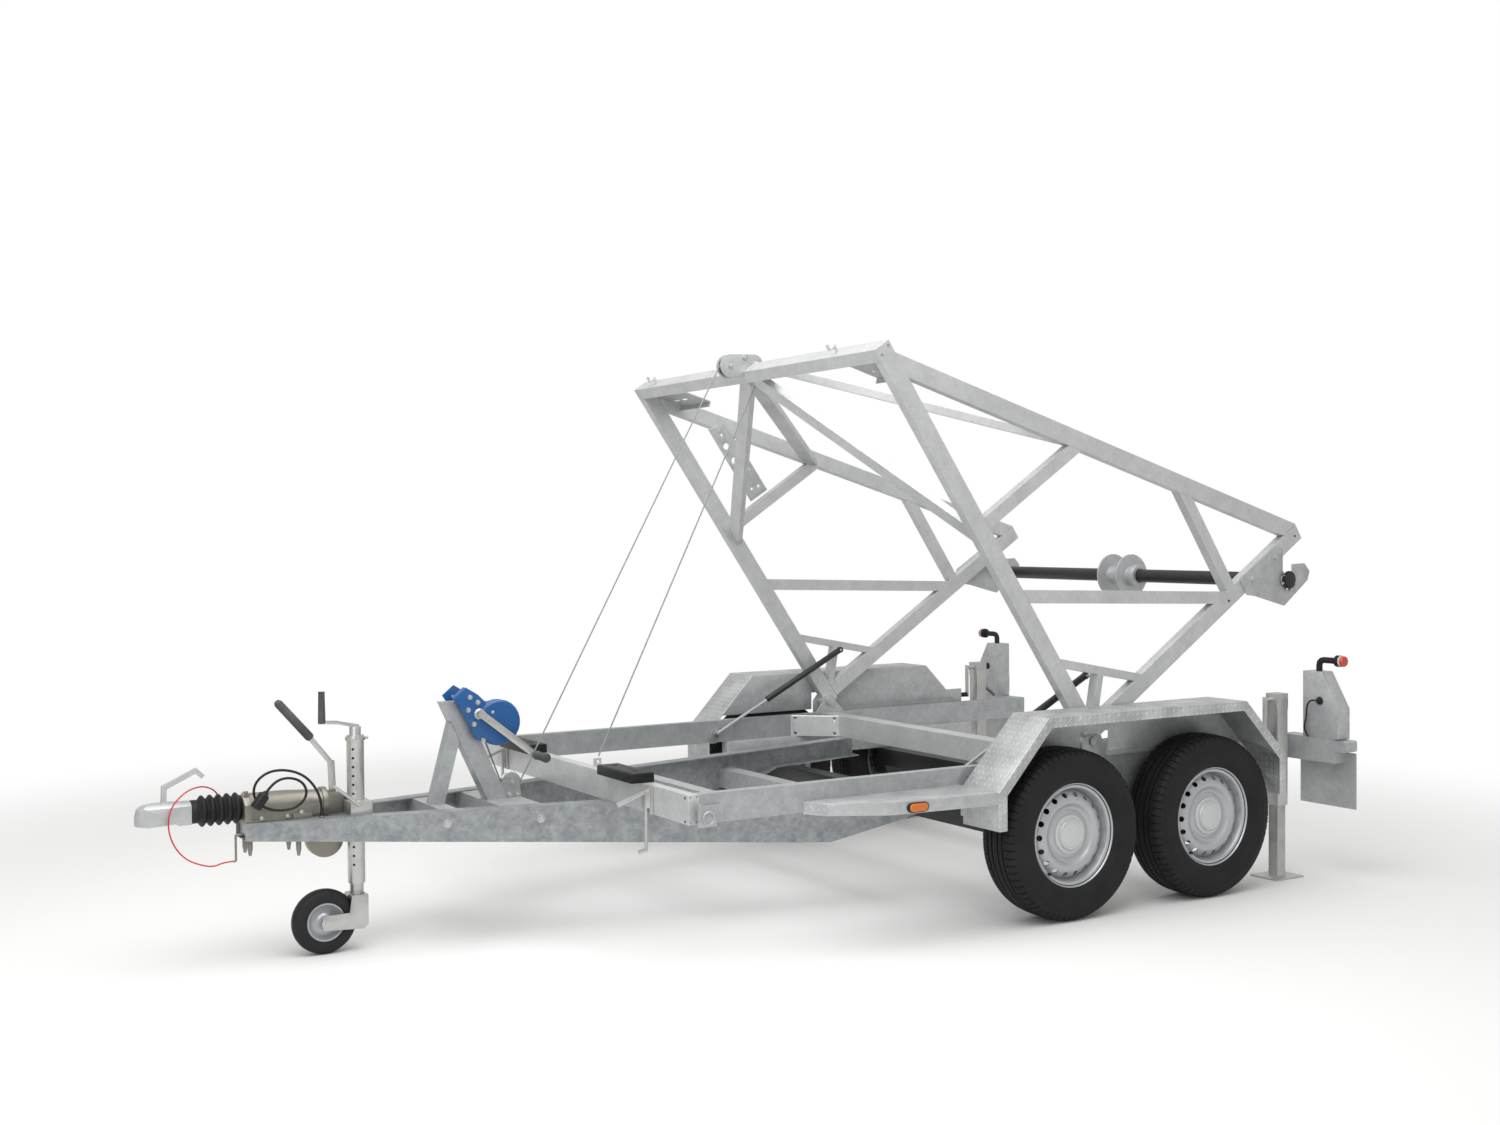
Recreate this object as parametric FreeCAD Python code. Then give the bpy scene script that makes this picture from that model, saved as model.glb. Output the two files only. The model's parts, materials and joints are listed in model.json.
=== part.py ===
import FreeCAD, Part
import math
import os

from FreeCAD import Vector

# Cable drum trailer with a tilting truss frame, twin axles and a V drawbar.
# Millimetres, +X to the rear, +Y to the trailer's right, +Z up, ground at z = 0.
# X values below are measured from the front axle, which save() moves to its place.

os.makedirs("parts", exist_ok=True)

AXIS_X = Vector(1, 0, 0)
AXIS_Y = Vector(0, 1, 0)
AXIS_Z = Vector(0, 0, 1)
NEAR_SIDE_FIRST = (-1, 1)

# Place of the front axle behind the middle of the trailer's length
FRONT_AXLE_X = 804

# Rails and cross beams, which carry everything else
AXLE_SPACING = 726
RAIL_OUT = 912
RAIL_WIDTH = 40
RAIL_IN = RAIL_OUT - RAIL_WIDTH
RAIL_BOTTOM = 478
RAIL_DEPTH = 100
RAIL_TOP = RAIL_BOTTOM + RAIL_DEPTH
RAIL_MIDDLE = RAIL_BOTTOM + RAIL_DEPTH / 2
RAIL_REAR_X = AXLE_SPACING + 744
CROSS_FRONT_X = -1522
CROSS_REAR_X = CROSS_FRONT_X + RAIL_WIDTH
MAIN_BEAM_X = 200
MAIN_BEAM_WIDTH = 80
END_HOLE_R = 7
END_HOLE_DEPTH = 6
HOLE_FLATS = 8
GUSSET_FOOT_BACK = 170
GUSSET_HEAD_IN = 144
GUSSET_WALL = 8
PAD_LENGTH = 90
PAD_FRONT_X = CROSS_FRONT_X - 48
PAD_IN = 318
PAD_WIDTH = 274
PAD_DEPTH = 35
PAD_CHAMFER = 5
PAD_WELL_R = 10

# Wheels
AXLE_Z = 320
TYRE_R = 320
TYRE_WIDTH = 184
TRACK_HALF = RAIL_OUT + 122
WHEEL_FLATS = 36
HUB_FLATS = 20
RIM_R = 195
RIM_WIDTH = 146
RIM_BARREL_R = 167
RIM_WALL = 6
TYRE_BEAD_GAP = 0.3
RIM_HOLES = 18
RIM_HOLE_R = 10
RIM_HOLE_RING_R = 140
HUB_CAP_R = 57
HUB_PLATE_R = 88
DRUM_R = 118
DRUM_GAP = 5
SPINDLE_STUB_R = 20
RUNNING_FIT = 0.05
SOFT_GAP = 0.3

# Axles and what carries them
AXLE_TUBE = 80
AXLE_TUBE_BACK = 160
AXLE_ARM_WALL = 32
AXLE_ARM_IN = RAIL_OUT - AXLE_ARM_WALL
AXLE_ARM_DEPTH = 62
BACKPLATE_R = 128
BACKPLATE_WALL = 12
BACKPLATE_OUT = RAIL_OUT + BACKPLATE_WALL
CARRIER_WIDTH = 60
CARRIER_FRONT_X = -330
CARRIER_REAR_X = AXLE_SPACING + 374
CARRIER_DEPTH = 90

# V drawbar
DRAWBAR_FRONT_X = -2757
DRAWBAR_REAR_X = MAIN_BEAM_X + MAIN_BEAM_WIDTH
DRAWBAR_SPLAY = 0.22
DRAWBAR_HALF_AT_NOSE = 66
DRAWBAR_NOSE_DEPTH = 60
DRAWBAR_DEEP_X = -690
DRAWBAR_DEEP = 206
DRAWBAR_TAPER_X = -400
DRAWBAR_TAPER_DEPTH = 137
DRAWBAR_SLIM_X = -250
DRAWBAR_WALL = 5
DRAWBAR_FLANGE = 60

# Tilting truss frame, whose points are measured from its apex over the pivot
PIVOT_X = 248
PIVOT_Z = RAIL_TOP + 54
APEX = (PIVOT_X + 5, PIVOT_Z + 31)
FRAME_OUT = RAIL_OUT + 18
FRAME_TUBE = 40
FRAME_IN = FRAME_OUT - FRAME_TUBE
ARM_DEPTH = 70
BRACE_DEPTH = 50
FRONT_ARM_ANGLE = 124.4
FRONT_ARM_LENGTH = 1728
REAR_ARM_ANGLE = 33.3
REAR_ARM_LENGTH = 1411
CHORD_ANGLE = -16.45
BEAM_DEPTH = 70
BEAM_WIDTH = 50
DIAGONAL_THROUGH = (-458, 850)
DIAGONAL_ANGLE = 33.5
REAR_BRACE_THROUGH = (538, 883)
REAR_BRACE_ANGLE = -56
CROSS_BRACE_FRONT = (-343, 537)
CROSS_BRACE_REAR = (707, 505)
GUSSET_BRACE_FRONT = (-168, 280)
GUSSET_BRACE_REAR = (244, 203)
GUSSET_BRACE_DEPTH = 32
GUSSET_STRUT_TOP = (47, 227)
GUSSET_STRUT_LOW = (11, 37)
BOSS_R = 32
BOSS_GAP = 1
PIVOT_BOLT_R = 12
PIVOT_PLATE_WALL = 8
PIVOT_PLATE_IN = RAIL_IN + 6
PIVOT_OUTER_GAP = 4
PIVOT_OUTER_WALL = 6
BOLT_HEAD = 12

# Stays between the top beam and the side frames
STAY_WIDTH = 60
STAY_DEPTH = 30
STAY_WALL = 4
LOW_STAY_FOOT = (-515, 762)
HIGH_STAY_FOOT = (-103, 1127)

# Plates of the tilting frame
SHELF_LENGTH = 150
SHELF_WIDTH = 260
SHELF_WALL = 5
SHELF_LIP = 24
MOUNT_WALL = 6
HOOK_WALL = 8

# Spindle
SPINDLE_X = APEX[0] + 1102
SPINDLE_Z = APEX[1] + 570
SPINDLE_R = 30
SPINDLE_HALF = FRAME_OUT + 22
SLOT_CLEARANCE = 0.3
SPOOL_R = 100
SPOOL_HUB_R = 45
SPOOL_WALL = 8
SPOOL_FLATS = 24
SPOOL_NEAR_Y = -24
SPOOL_FAR_Y = 96
CLAMP_RING_R = 52
CLAMP_RING_WIDTH = 35

# Pulleys and ropes
CHEEK_IN = 12
CHEEK_WALL = 6
CHEEK_R = 47
CHEEK_LENGTH = 136
TOP_PULLEY_R = 40
TOP_PIN_R = 8
LOW_PULLEY_R = 38
LOW_PIN_R = 7
SHEAVE_HALF = 10
SHEAVE_GROOVE = 9
ROPE_R = 3
ROPE_SEAT = 3.6
ROPE_SIDE = -5

# Gas springs
SPRING_Y = FRAME_OUT - 80
SPRING_LOW_X = -401
SPRING_LOW_Z = RAIL_BOTTOM + 40
SPRING_TOP = (APEX[0] + 42, APEX[1] + 215)
SPRING_TUBE_R = 14
SPRING_TUBE_LENGTH = 467
SPRING_BORE_DEPTH = 420
SPRING_ROD_R = 7
SPRING_ROD_INSIDE = 120
SPRING_EYE_R = 14
SPRING_EYE_WIDTH = 16
SPRING_STUD_R = 6
SPRING_PLATE = 44

# Winch
POST_TOP = (-2010, 850)
POST_FOOT = (-1835, 473)
POST_DEPTH = 70
POST_WIDTH = 60
LOW_PULLEY_X = POST_FOOT[0] + 63
LOW_PULLEY_Z = RAIL_BOTTOM + 49
WINCH_DRUM = (POST_TOP[0] + 165, POST_TOP[1] - 90)
WINCH_COVER_R = 84
WINCH_FLANGE_R = 68
WINCH_ROPE_R = 46
WINCH_CORE_R = 24
WINCH_CASE_OUT = -72
WINCH_CASE_IN = -40
WINCH_FAR_IN = 52
WINCH_FAR_OUT = 58
WINCH_SHAFT = (POST_TOP[0] + 90, POST_TOP[1] - 54)
CRANK_REACH = (208, -162)
CRANK_FACE = WINCH_CASE_OUT - 28
CRANK_WALL = 8

# Fenders and steps
FENDER_IN = RAIL_OUT + 24
FENDER_WIDTH = 206
FENDER_OUT = FENDER_IN + FENDER_WIDTH
FENDER_TOP = AXLE_Z + TYRE_R + 128
FENDER_FRONT_X = -386
FENDER_REAR_X = AXLE_SPACING + 381
FENDER_WALL = 4
FENDER_SKIRT = 38
STEP_TOP = RAIL_BOTTOM + 39
STEP_SKIRT = 45
STEP_WALL = 4
STEP_LENGTH = 684

# Rear legs
LEG_X = RAIL_REAR_X - 225
LEG_Y = RAIL_OUT + 63
LEG_SLEEVE = 60
LEG_TUBE = 48
LEG_SLEEVE_BOTTOM = RAIL_BOTTOM - 178
LEG_SLEEVE_TOP = RAIL_BOTTOM + 222
LEG_FIT = 0.1
LEG_INSIDE = 90
FOOT_LENGTH = 165
FOOT_WIDTH = 140
FOOT_WALL = 6

# Rear stub beams and lamps
STUB_FRONT_X = RAIL_REAR_X - 78
STUB_REAR_X = RAIL_REAR_X - 5
STUB_OUT = RAIL_OUT + 233
LAMP_BOX_IN = RAIL_OUT + 73
LAMP_BOX_WIDTH = 179
LAMP_BOX_OUT = LAMP_BOX_IN + LAMP_BOX_WIDTH
LAMP_BOX_TOP = RAIL_TOP + 275
FLAP_OUT = RAIL_OUT + 282
FLAP_BOTTOM = 288
FLAP_WALL = 5
LAMP_ARM_R = 13

# Coupling and overrun device
BALL_X = DRAWBAR_FRONT_X - 246
COUPLING_Z = RAIL_BOTTOM + 37
BALL_R = 25.4
HEAD_REAR_X = BALL_X + 78
NECK_RISE = 9
BELLOWS_R = 53
BELLOWS_CUFF_R = 38
BELLOWS_RIBS = 5
BELLOWS_FLATS = 24
FLANGE_PLATE = 24
HOUSING_R = 52

# Jockey wheel
JOCKEY_X = DRAWBAR_FRONT_X + 384
JOCKEY_Y = -50
JOCKEY_SLEEVE_R = 30
JOCKEY_TUBE_R = 24
JOCKEY_SLEEVE_LOW = 234
JOCKEY_SLEEVE_TOP = 749
JOCKEY_TUBE_LOW = 184
JOCKEY_TUBE_TOP = JOCKEY_SLEEVE_TOP - 210
JOCKEY_WHEEL_X = JOCKEY_X - 117
JOCKEY_WHEEL_R = 112
JOCKEY_WHEEL_WIDTH = 62
JOCKEY_WHEEL_FLATS = 32
JOCKEY_FORK_GAP = 6
JOCKEY_FORK_WALL = 6
JOCKEY_RIM_R = 65
JOCKEY_AXLE_R = 8

# Cords, as points chosen by hand along each route
CABLE_R = 4.5
CABLE_ROUTE = [
    (-2505, -92, 486), (-2505, -92, 530), (-2522, -80, 584), (-2560, -68, 628), (-2618, -62, 650),
    (-2680, -62, 648), (-2726, -63, 612), (-2730, -68, 560), (-2692, -74, 524), (-2634, -78, 512),
    (-2580, -80, 522), (-2550, -82, 562), (-2566, -86, 606), (-2616, -92, 628), (-2668, -98, 618),
    (-2694, -102, 586),
]
PLUG_LENGTH = 66
PLUG_R = 19
BREAKAWAY_R = 2.5
BREAKAWAY_ROUTE = [
    (-2795, -45, 352), (-2825, -45, 352), (-2862, -54, 342), (-2908, -58, 355), (-2955, -59, 380),
    (-2992, -60, 430), (-3008, -60, 492), (-2998, -58, 550), (-2960, -50, 592), (-2915, -22, 608),
    (-2868, 20, 604), (-2826, 50, 580), (-2800, 58, 530), (-2757, 58, 530),
]


# Shapes that many pieces use

def box(x0, x1, y0, y1, z0, z1):
    return Part.makeBox(x1 - x0, y1 - y0, z1 - z0, Vector(x0, y0, z0))


def rod(start, end, radius):
    """Round bar between two points."""
    way = end.sub(start)
    return Part.makeCylinder(radius, way.Length, start, way)


def rod_y(x, z, radius, y0, y1):
    return rod(Vector(x, y0, z), Vector(x, y1, z), radius)


def slab_y(outline, y0, y1):
    """Outline of (x, z) points given a thickness across the trailer."""
    corners = [Vector(x, y0, z) for x, z in outline]
    face = Part.Face(Part.makePolygon(corners + corners[:1]))
    return face.extrude(Vector(0, y1 - y0, 0))


def slab_x(outline, x0, x1):
    """Outline of (y, z) points given a thickness along the trailer."""
    corners = [Vector(x0, y, z) for y, z in outline]
    face = Part.Face(Part.makePolygon(corners + corners[:1]))
    return face.extrude(Vector(x1 - x0, 0, 0))


def slab_z(outline, z0, z1):
    """Outline of (x, y) points given a height."""
    corners = [Vector(x, y, z0) for x, y in outline]
    face = Part.Face(Part.makePolygon(corners + corners[:1]))
    return face.extrude(Vector(0, 0, z1 - z0))


def ring(centre, axis, radius, flats):
    """Corners of a many-sided ring about an axis, the first one again at the end."""
    reference = AXIS_X if abs(axis.z) > 0.7 else AXIS_Z
    across = axis.cross(reference).normalize()
    over = axis.cross(across)
    corners = []
    for number in range(flats):
        turn = 2 * math.pi * (number + 0.5) / flats
        offset = across * (radius * math.cos(turn)) + over * (radius * math.sin(turn))
        corners.append(centre.add(offset))
    return corners + corners[:1]


def faceted(origin, axis, stations, flats):
    """Flat-sided body through (distance, radius) stations along an axis."""
    rings = [ring(origin.add(axis * along), axis, radius, flats) for along, radius in stations]
    faces = [Part.Face(Part.makePolygon(rings[0])), Part.Face(Part.makePolygon(rings[-1]))]
    for near, far in zip(rings, rings[1:]):
        for a, b, c, d in zip(near, near[1:], far[1:], far):
            faces.append(Part.Face(Part.makePolygon([a, b, c, d, a])))
    shell = Part.makeShell(faces)
    shell.sewShape()
    solid = Part.makeSolid(shell)
    if solid.Volume < 0:
        solid.reverse()
    return solid


def flat_rod(start, end, radius, flats=12):
    """Many-sided bar between two points."""
    way = end.sub(start)
    length = way.Length
    return faceted(start, way.normalize(), [(0, radius), (length, radius)], flats)


def flat_rod_y(x, z, radius, y0, y1, flats=12):
    return flat_rod(Vector(x, y0, z), Vector(x, y1, z), radius, flats)


def hexagon(x, z, radius, y0, y1):
    """Bolt head or nut whose axis lies across the trailer."""
    return flat_rod_y(x, z, radius, y0, y1, 6)


def drilled(shape, holes):
    return shape.cut(Part.makeCompound(holes))


def away(point, angle, distance):
    """Point at a distance from another, at an angle in the XZ plane."""
    turn = math.radians(angle)
    return (point[0] + distance * math.cos(turn), point[1] + distance * math.sin(turn))


def moved(point, dx, dz):
    return (point[0] + dx, point[1] + dz)


def from_apex(offset):
    """Point of the tilting frame, given from its apex."""
    return (APEX[0] + offset[0], APEX[1] + offset[1])


def bar(start, end, depth, y0, y1, more=0):
    """Flat bar along the line between two (x, z) points, square at both ends."""
    angle = math.degrees(math.atan2(end[1] - start[1], end[0] - start[0]))
    first = away(start, angle, -more)
    last = away(end, angle, more)
    half = depth / 2
    outline = [
        away(first, angle + 90, half),
        away(last, angle + 90, half),
        away(last, angle - 90, half),
        away(first, angle - 90, half),
    ]
    return slab_y(outline, y0, y1)


def fuse(shapes):
    return shapes[0].multiFuse(shapes[1:]).removeSplitter()


def largest(shape):
    return max(shape.Solids, key=lambda solid: solid.Volume)


def trimmed(shape, neighbours):
    """What is left of a member between its neighbours."""
    return largest(shape.cut(Part.makeCompound(neighbours)))


def other_side(shape):
    return shape.mirror(Vector(0, 0, 0), AXIS_Y)


def both_sides(shape):
    return [shape, other_side(shape)]


def turned_box(length, width, depth, start, end, up):
    """Box whose length lies from start to end, with its depth towards up."""
    along = end.sub(start).normalize()
    across = up.cross(along).normalize()
    over = along.cross(across)
    rotation = FreeCAD.Rotation(along, across, over, "XYZ")
    solid = Part.makeBox(length, width, depth, Vector(0, -width / 2, -depth / 2))
    solid.Placement = FreeCAD.Placement(start, rotation)
    return solid


def save(node, shapes):
    """Write one node, and print what it holds."""
    solids = []
    for shape in shapes:
        solids += shape.Solids
    compound = Part.makeCompound(solids)
    compound.translate(Vector(FRONT_AXLE_X, 0, 0))
    volume = sum(solid.Volume for solid in solids)
    sound = all(solid.isValid() for solid in solids)
    if volume <= 0 or not sound:
        print("CHECK", node, volume, sound)
    print(f"{node}: {len(solids)} solids, {volume / 1e6:.3f} litres")
    compound.exportStep(f"parts/{node}.step")


# The V drawbar

def drawbar_half(x):
    """Outer face of a drawbar beam at x."""
    return DRAWBAR_HALF_AT_NOSE + DRAWBAR_SPLAY * (x - DRAWBAR_FRONT_X)


def drawbar_low(x):
    """Under face of the drawbar's front stretch at x."""
    slope = (DRAWBAR_DEEP - DRAWBAR_NOSE_DEPTH) / (DRAWBAR_DEEP_X - DRAWBAR_FRONT_X)
    return RAIL_BOTTOM - DRAWBAR_NOSE_DEPTH - slope * (x - DRAWBAR_FRONT_X)


def drawbar_strip(x0, x1, inner, outer, z0, z1):
    """Slab that follows a drawbar beam, between two depths in from its outer face."""
    outline = [
        (x0, drawbar_half(x0) - inner),
        (x1, drawbar_half(x1) - inner),
        (x1, drawbar_half(x1) - outer),
        (x0, drawbar_half(x0) - outer),
    ]
    return slab_z(outline, z0, z1)


def drawbar_side(wall, end):
    """Side view of a drawbar beam, drawn in by a wall and longer by end."""
    top = RAIL_BOTTOM - wall
    low = RAIL_BOTTOM + wall
    return [
        (DRAWBAR_FRONT_X - end, top),
        (DRAWBAR_REAR_X + end, top),
        (DRAWBAR_REAR_X + end, low - CARRIER_DEPTH),
        (DRAWBAR_SLIM_X, low - CARRIER_DEPTH),
        (DRAWBAR_TAPER_X, low - DRAWBAR_TAPER_DEPTH),
        (DRAWBAR_DEEP_X, low - DRAWBAR_DEEP),
        (DRAWBAR_FRONT_X - end, low - DRAWBAR_NOSE_DEPTH),
    ]


def drawbar_beam():
    """Folded C section whose web stands outside and whose flanges turn inwards."""
    spare = 50
    outer = slab_y(drawbar_side(0, 0), 0, RAIL_OUT)
    outer = outer.common(drawbar_strip(
        DRAWBAR_FRONT_X, DRAWBAR_REAR_X, 0, DRAWBAR_FLANGE, 0, RAIL_BOTTOM))
    hollow = slab_y(drawbar_side(DRAWBAR_WALL, spare), -spare, RAIL_OUT)
    hollow = hollow.common(drawbar_strip(
        DRAWBAR_FRONT_X - spare, DRAWBAR_REAR_X + spare, DRAWBAR_WALL, DRAWBAR_FLANGE + spare,
        0, RAIL_BOTTOM))
    return outer.cut(hollow)


def cross_channel(x0, x1, z0, z1):
    """Channel from web to web of the drawbar, open below."""
    outline = [
        (x0, drawbar_half(x0) - DRAWBAR_WALL),
        (x1, drawbar_half(x1) - DRAWBAR_WALL),
        (x1, DRAWBAR_WALL - drawbar_half(x1)),
        (x0, DRAWBAR_WALL - drawbar_half(x0)),
    ]
    block = slab_z(outline, z0, z1)
    wall = DRAWBAR_WALL
    inside = box(x0 + wall, x1 - wall, -RAIL_OUT, RAIL_OUT, z0 - wall, z1 - wall)
    return block.cut(inside)


def make_drawbar():
    top = RAIL_BOTTOM - DRAWBAR_WALL
    save("drawbar_beams", both_sides(drawbar_beam()))
    post_x = POST_FOOT[0]
    members = [
        cross_channel(DRAWBAR_FRONT_X + 12, DRAWBAR_FRONT_X + 100, top - 45, top),
        cross_channel(post_x - 260, post_x - 200, top - 60, top),
        cross_channel(post_x - 55, post_x + 95, top - 60, top),
        cross_channel(post_x + 705, post_x + 765, top - 90, top),
        cross_channel(DRAWBAR_DEEP_X + 130, DRAWBAR_DEEP_X + 200, top - 143, top - 60),
    ]
    save("drawbar_cross_members", members)


# Rails and cross beams

def end_holes(beam_x, face_y, inward, half_width, half_depth):
    """Four small holes at the corners of a beam's end."""
    holes = []
    for dx in (-half_width, half_width):
        for dz in (-half_depth, half_depth):
            holes.append(flat_rod_y(beam_x + dx, RAIL_MIDDLE + dz, END_HOLE_R / 2, face_y,
                                    face_y + inward * END_HOLE_DEPTH, HOLE_FLATS))
    return holes


def rope_eye():
    """Lug behind the front cross beam that holds the return rope's end."""
    foot = RAIL_TOP - 38
    eye = fuse([
        box(CROSS_REAR_X, CROSS_REAR_X + 10, -125, -95, foot, foot + 30),
        box(CROSS_REAR_X, CROSS_REAR_X + 30, -114, -106, foot + 5, foot + 65),
    ])
    return eye.cut(flat_rod_y(CROSS_REAR_X + 18, foot + 52, 7, -120, -100, HOLE_FLATS))


def rubber_pad():
    """Bevelled pad on the front cross beam, with two sunk screws."""
    top = RAIL_TOP + PAD_DEPTH
    low = [PAD_FRONT_X, PAD_FRONT_X + PAD_LENGTH]
    high = [low[0] + PAD_CHAMFER, low[1] - PAD_CHAMFER]
    side = [(low[0], RAIL_TOP), (low[0], top - PAD_CHAMFER), (high[0], top), (high[1], top),
            (low[1], top - PAD_CHAMFER), (low[1], RAIL_TOP)]
    pad = slab_y(side, PAD_IN, PAD_IN + PAD_WIDTH)
    x = PAD_FRONT_X + PAD_LENGTH / 2
    wells = []
    for y in (PAD_IN + PAD_WIDTH * 0.2, PAD_IN + PAD_WIDTH * 0.8):
        wells.append(flat_rod(Vector(x, y, top - 10), Vector(x, y, top + 1), PAD_WELL_R))
    return drilled(pad, wells)


def corner_gusset(side):
    """Upright plate across the corner between a rail and the main cross beam."""
    foot = Vector(MAIN_BEAM_X - GUSSET_FOOT_BACK, side * RAIL_IN, RAIL_MIDDLE)
    head = Vector(MAIN_BEAM_X, side * (RAIL_IN - GUSSET_HEAD_IN), RAIL_MIDDLE)
    length = head.sub(foot).Length
    way = head.sub(foot).normalize()
    plate = turned_box(length + 40, GUSSET_WALL, RAIL_DEPTH, foot.sub(way * 20), head, AXIS_Z)
    inside = box(MAIN_BEAM_X - GUSSET_FOOT_BACK - 40, MAIN_BEAM_X, -RAIL_IN, RAIL_IN,
                 RAIL_BOTTOM, RAIL_TOP)
    across = AXIS_Z.cross(way) * 10
    holes = []
    for part_way in (18, length - 18):
        for dz in (-RAIL_DEPTH * 0.36, RAIL_DEPTH * 0.36):
            centre = foot.add(way * part_way).add(AXIS_Z * dz)
            holes.append(flat_rod(centre.sub(across), centre.add(across), END_HOLE_R, HOLE_FLATS))
    return drilled(plate.common(inside), holes)


def make_rails():
    rail = box(CROSS_REAR_X, RAIL_REAR_X, RAIL_IN, RAIL_OUT, RAIL_BOTTOM, RAIL_TOP)
    far_rail = fuse([rail, gas_spring_stud()])
    stub = box(CROSS_REAR_X + 12, CROSS_REAR_X + 81, RAIL_OUT, RAIL_OUT + 22,
               RAIL_BOTTOM + 5, RAIL_BOTTOM + 62)
    near_rail = fuse([rail, gas_spring_stud(), stub])
    save("side_rails", [far_rail, other_side(near_rail)])

    beam = box(CROSS_FRONT_X, CROSS_REAR_X, -RAIL_OUT, RAIL_OUT, RAIL_BOTTOM, RAIL_TOP)
    for side in NEAR_SIDE_FIRST:
        holes = end_holes(CROSS_FRONT_X + RAIL_WIDTH / 2, side * RAIL_OUT, -side,
                          RAIL_WIDTH * 0.3, RAIL_DEPTH * 0.42)
        beam = drilled(beam, holes)
    save("front_cross_beam", [fuse([beam, rope_eye()])])
    save("rubber_pads", both_sides(rubber_pad()))

    cross = box(MAIN_BEAM_X, MAIN_BEAM_X + MAIN_BEAM_WIDTH, -RAIL_IN, RAIL_IN, RAIL_BOTTOM, RAIL_TOP)
    save("main_cross_beam", [fuse([cross] + [corner_gusset(side) for side in NEAR_SIDE_FIRST])])


def make_axles():
    tube_top = RAIL_BOTTOM - CARRIER_DEPTH
    carrier = box(CARRIER_FRONT_X, CARRIER_REAR_X, RAIL_OUT - CARRIER_WIDTH, RAIL_OUT,
                  tube_top, RAIL_BOTTOM)
    save("axle_carriers", both_sides(carrier))
    axles = []
    for axle_x in (0, AXLE_SPACING):
        tube_x = axle_x - AXLE_TUBE_BACK
        shapes = [box(tube_x - AXLE_TUBE / 2, tube_x + AXLE_TUBE / 2, -AXLE_ARM_IN, AXLE_ARM_IN,
                      tube_top - AXLE_TUBE, tube_top)]
        for side in NEAR_SIDE_FIRST:
            low = min(side * AXLE_ARM_IN, side * RAIL_OUT)
            arm = bar((tube_x, tube_top - AXLE_TUBE / 2), (axle_x, AXLE_Z), AXLE_ARM_DEPTH,
                      low, low + AXLE_ARM_WALL, 30)
            plate = flat_rod_y(axle_x, AXLE_Z, BACKPLATE_R, side * RAIL_OUT, side * BACKPLATE_OUT, HUB_FLATS)
            stub = rod_y(axle_x, AXLE_Z, SPINDLE_STUB_R, side * AXLE_ARM_IN, side * (TRACK_HALF + 30))
            shapes += [arm, plate, stub]
        axles.append(fuse(shapes))
    save("axles", axles)


# Wheels

RIM_STATIONS = [
    (-RIM_WIDTH / 2, RIM_R),
    (-RIM_WIDTH / 2 + 7, RIM_BARREL_R),
    (RIM_WIDTH / 2 - 7, RIM_BARREL_R),
    (RIM_WIDTH / 2, RIM_R),
]


def tyre_solid(origin, axis):
    """Road tyre with rounded shoulders, seated on the rim."""
    half = TYRE_WIDTH / 2
    tyre = faceted(origin, axis, [
        (-half + 24, RIM_R + 4),
        (-half, RIM_R + 57),
        (-half + 14, TYRE_R - 20),
        (-half + 42, TYRE_R),
        (half - 42, TYRE_R),
        (half - 14, TYRE_R - 20),
        (half, RIM_R + 57),
        (half - 24, RIM_R + 4),
    ], WHEEL_FLATS)
    seat = [(along, radius + TYRE_BEAD_GAP) for along, radius in RIM_STATIONS]
    return tyre.cut(faceted(origin, axis, seat, WHEEL_FLATS))


def rim_solid(origin, axis, rear_face):
    """Drop-centre rim whose dished disc has a ring of holes, with hub and brake drum."""
    face = RIM_WIDTH / 2
    inner = RIM_BARREL_R - RIM_WALL
    disc = face - 34
    back = disc - 18
    rim = faceted(origin, axis, RIM_STATIONS, WHEEL_FLATS)
    rim = rim.cut(faceted(origin, axis, [
        (disc, inner), (face - 13, inner + 2), (face + 1, RIM_R - 4)], WHEEL_FLATS))
    ridge = faceted(origin, axis, [
        (disc - 2, inner), (face - 21, RIM_HOLE_RING_R + 18), (face - 15, RIM_HOLE_RING_R + 10)], WHEEL_FLATS)
    ridge = ridge.cut(faceted(origin, axis, [
        (disc, RIM_HOLE_RING_R - 28), (face - 14.5, RIM_HOLE_RING_R - 8)], WHEEL_FLATS))
    plate = faceted(origin, axis, [(disc - 2, HUB_PLATE_R + 6), (disc + 5, HUB_PLATE_R)], WHEEL_FLATS)
    cap = faceted(origin, axis, [
        (disc, HUB_CAP_R), (face - 17, HUB_CAP_R), (face - 12, HUB_CAP_R - 8)], HUB_FLATS)
    rim = fuse([rim, ridge, plate, cap])
    cuts = [
        faceted(origin, axis, [(-face - 1, inner), (back, inner)], WHEEL_FLATS),
        faceted(origin, axis, [(back - 1, RIM_HOLE_RING_R + 14), (face - 20, RIM_HOLE_RING_R + 8)],
                WHEEL_FLATS).cut(
            faceted(origin, axis, [(back - 2, DRUM_R + 6), (face - 19, DRUM_R + 14)], WHEEL_FLATS)),
    ]
    rim = drilled(rim, cuts)
    drum = faceted(origin, axis, [
        (rear_face, DRUM_R - 6), (rear_face + 6, DRUM_R), (back + 4, DRUM_R)], HUB_FLATS)
    rim = fuse([rim, drum])
    holes = []
    for number in range(RIM_HOLES):
        turn = 2 * math.pi * number / RIM_HOLES
        place = Vector(math.cos(turn), 0, math.sin(turn)) * RIM_HOLE_RING_R
        start = origin.add(place).add(axis * (back - 2))
        holes.append(flat_rod(start, start.add(axis * 60), RIM_HOLE_R, HOLE_FLATS))
    bore_end = origin.add(axis * disc)
    holes.append(rod(origin.add(axis * (rear_face - 1)), bore_end, SPINDLE_STUB_R + RUNNING_FIT))
    return largest(drilled(rim, holes))


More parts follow.
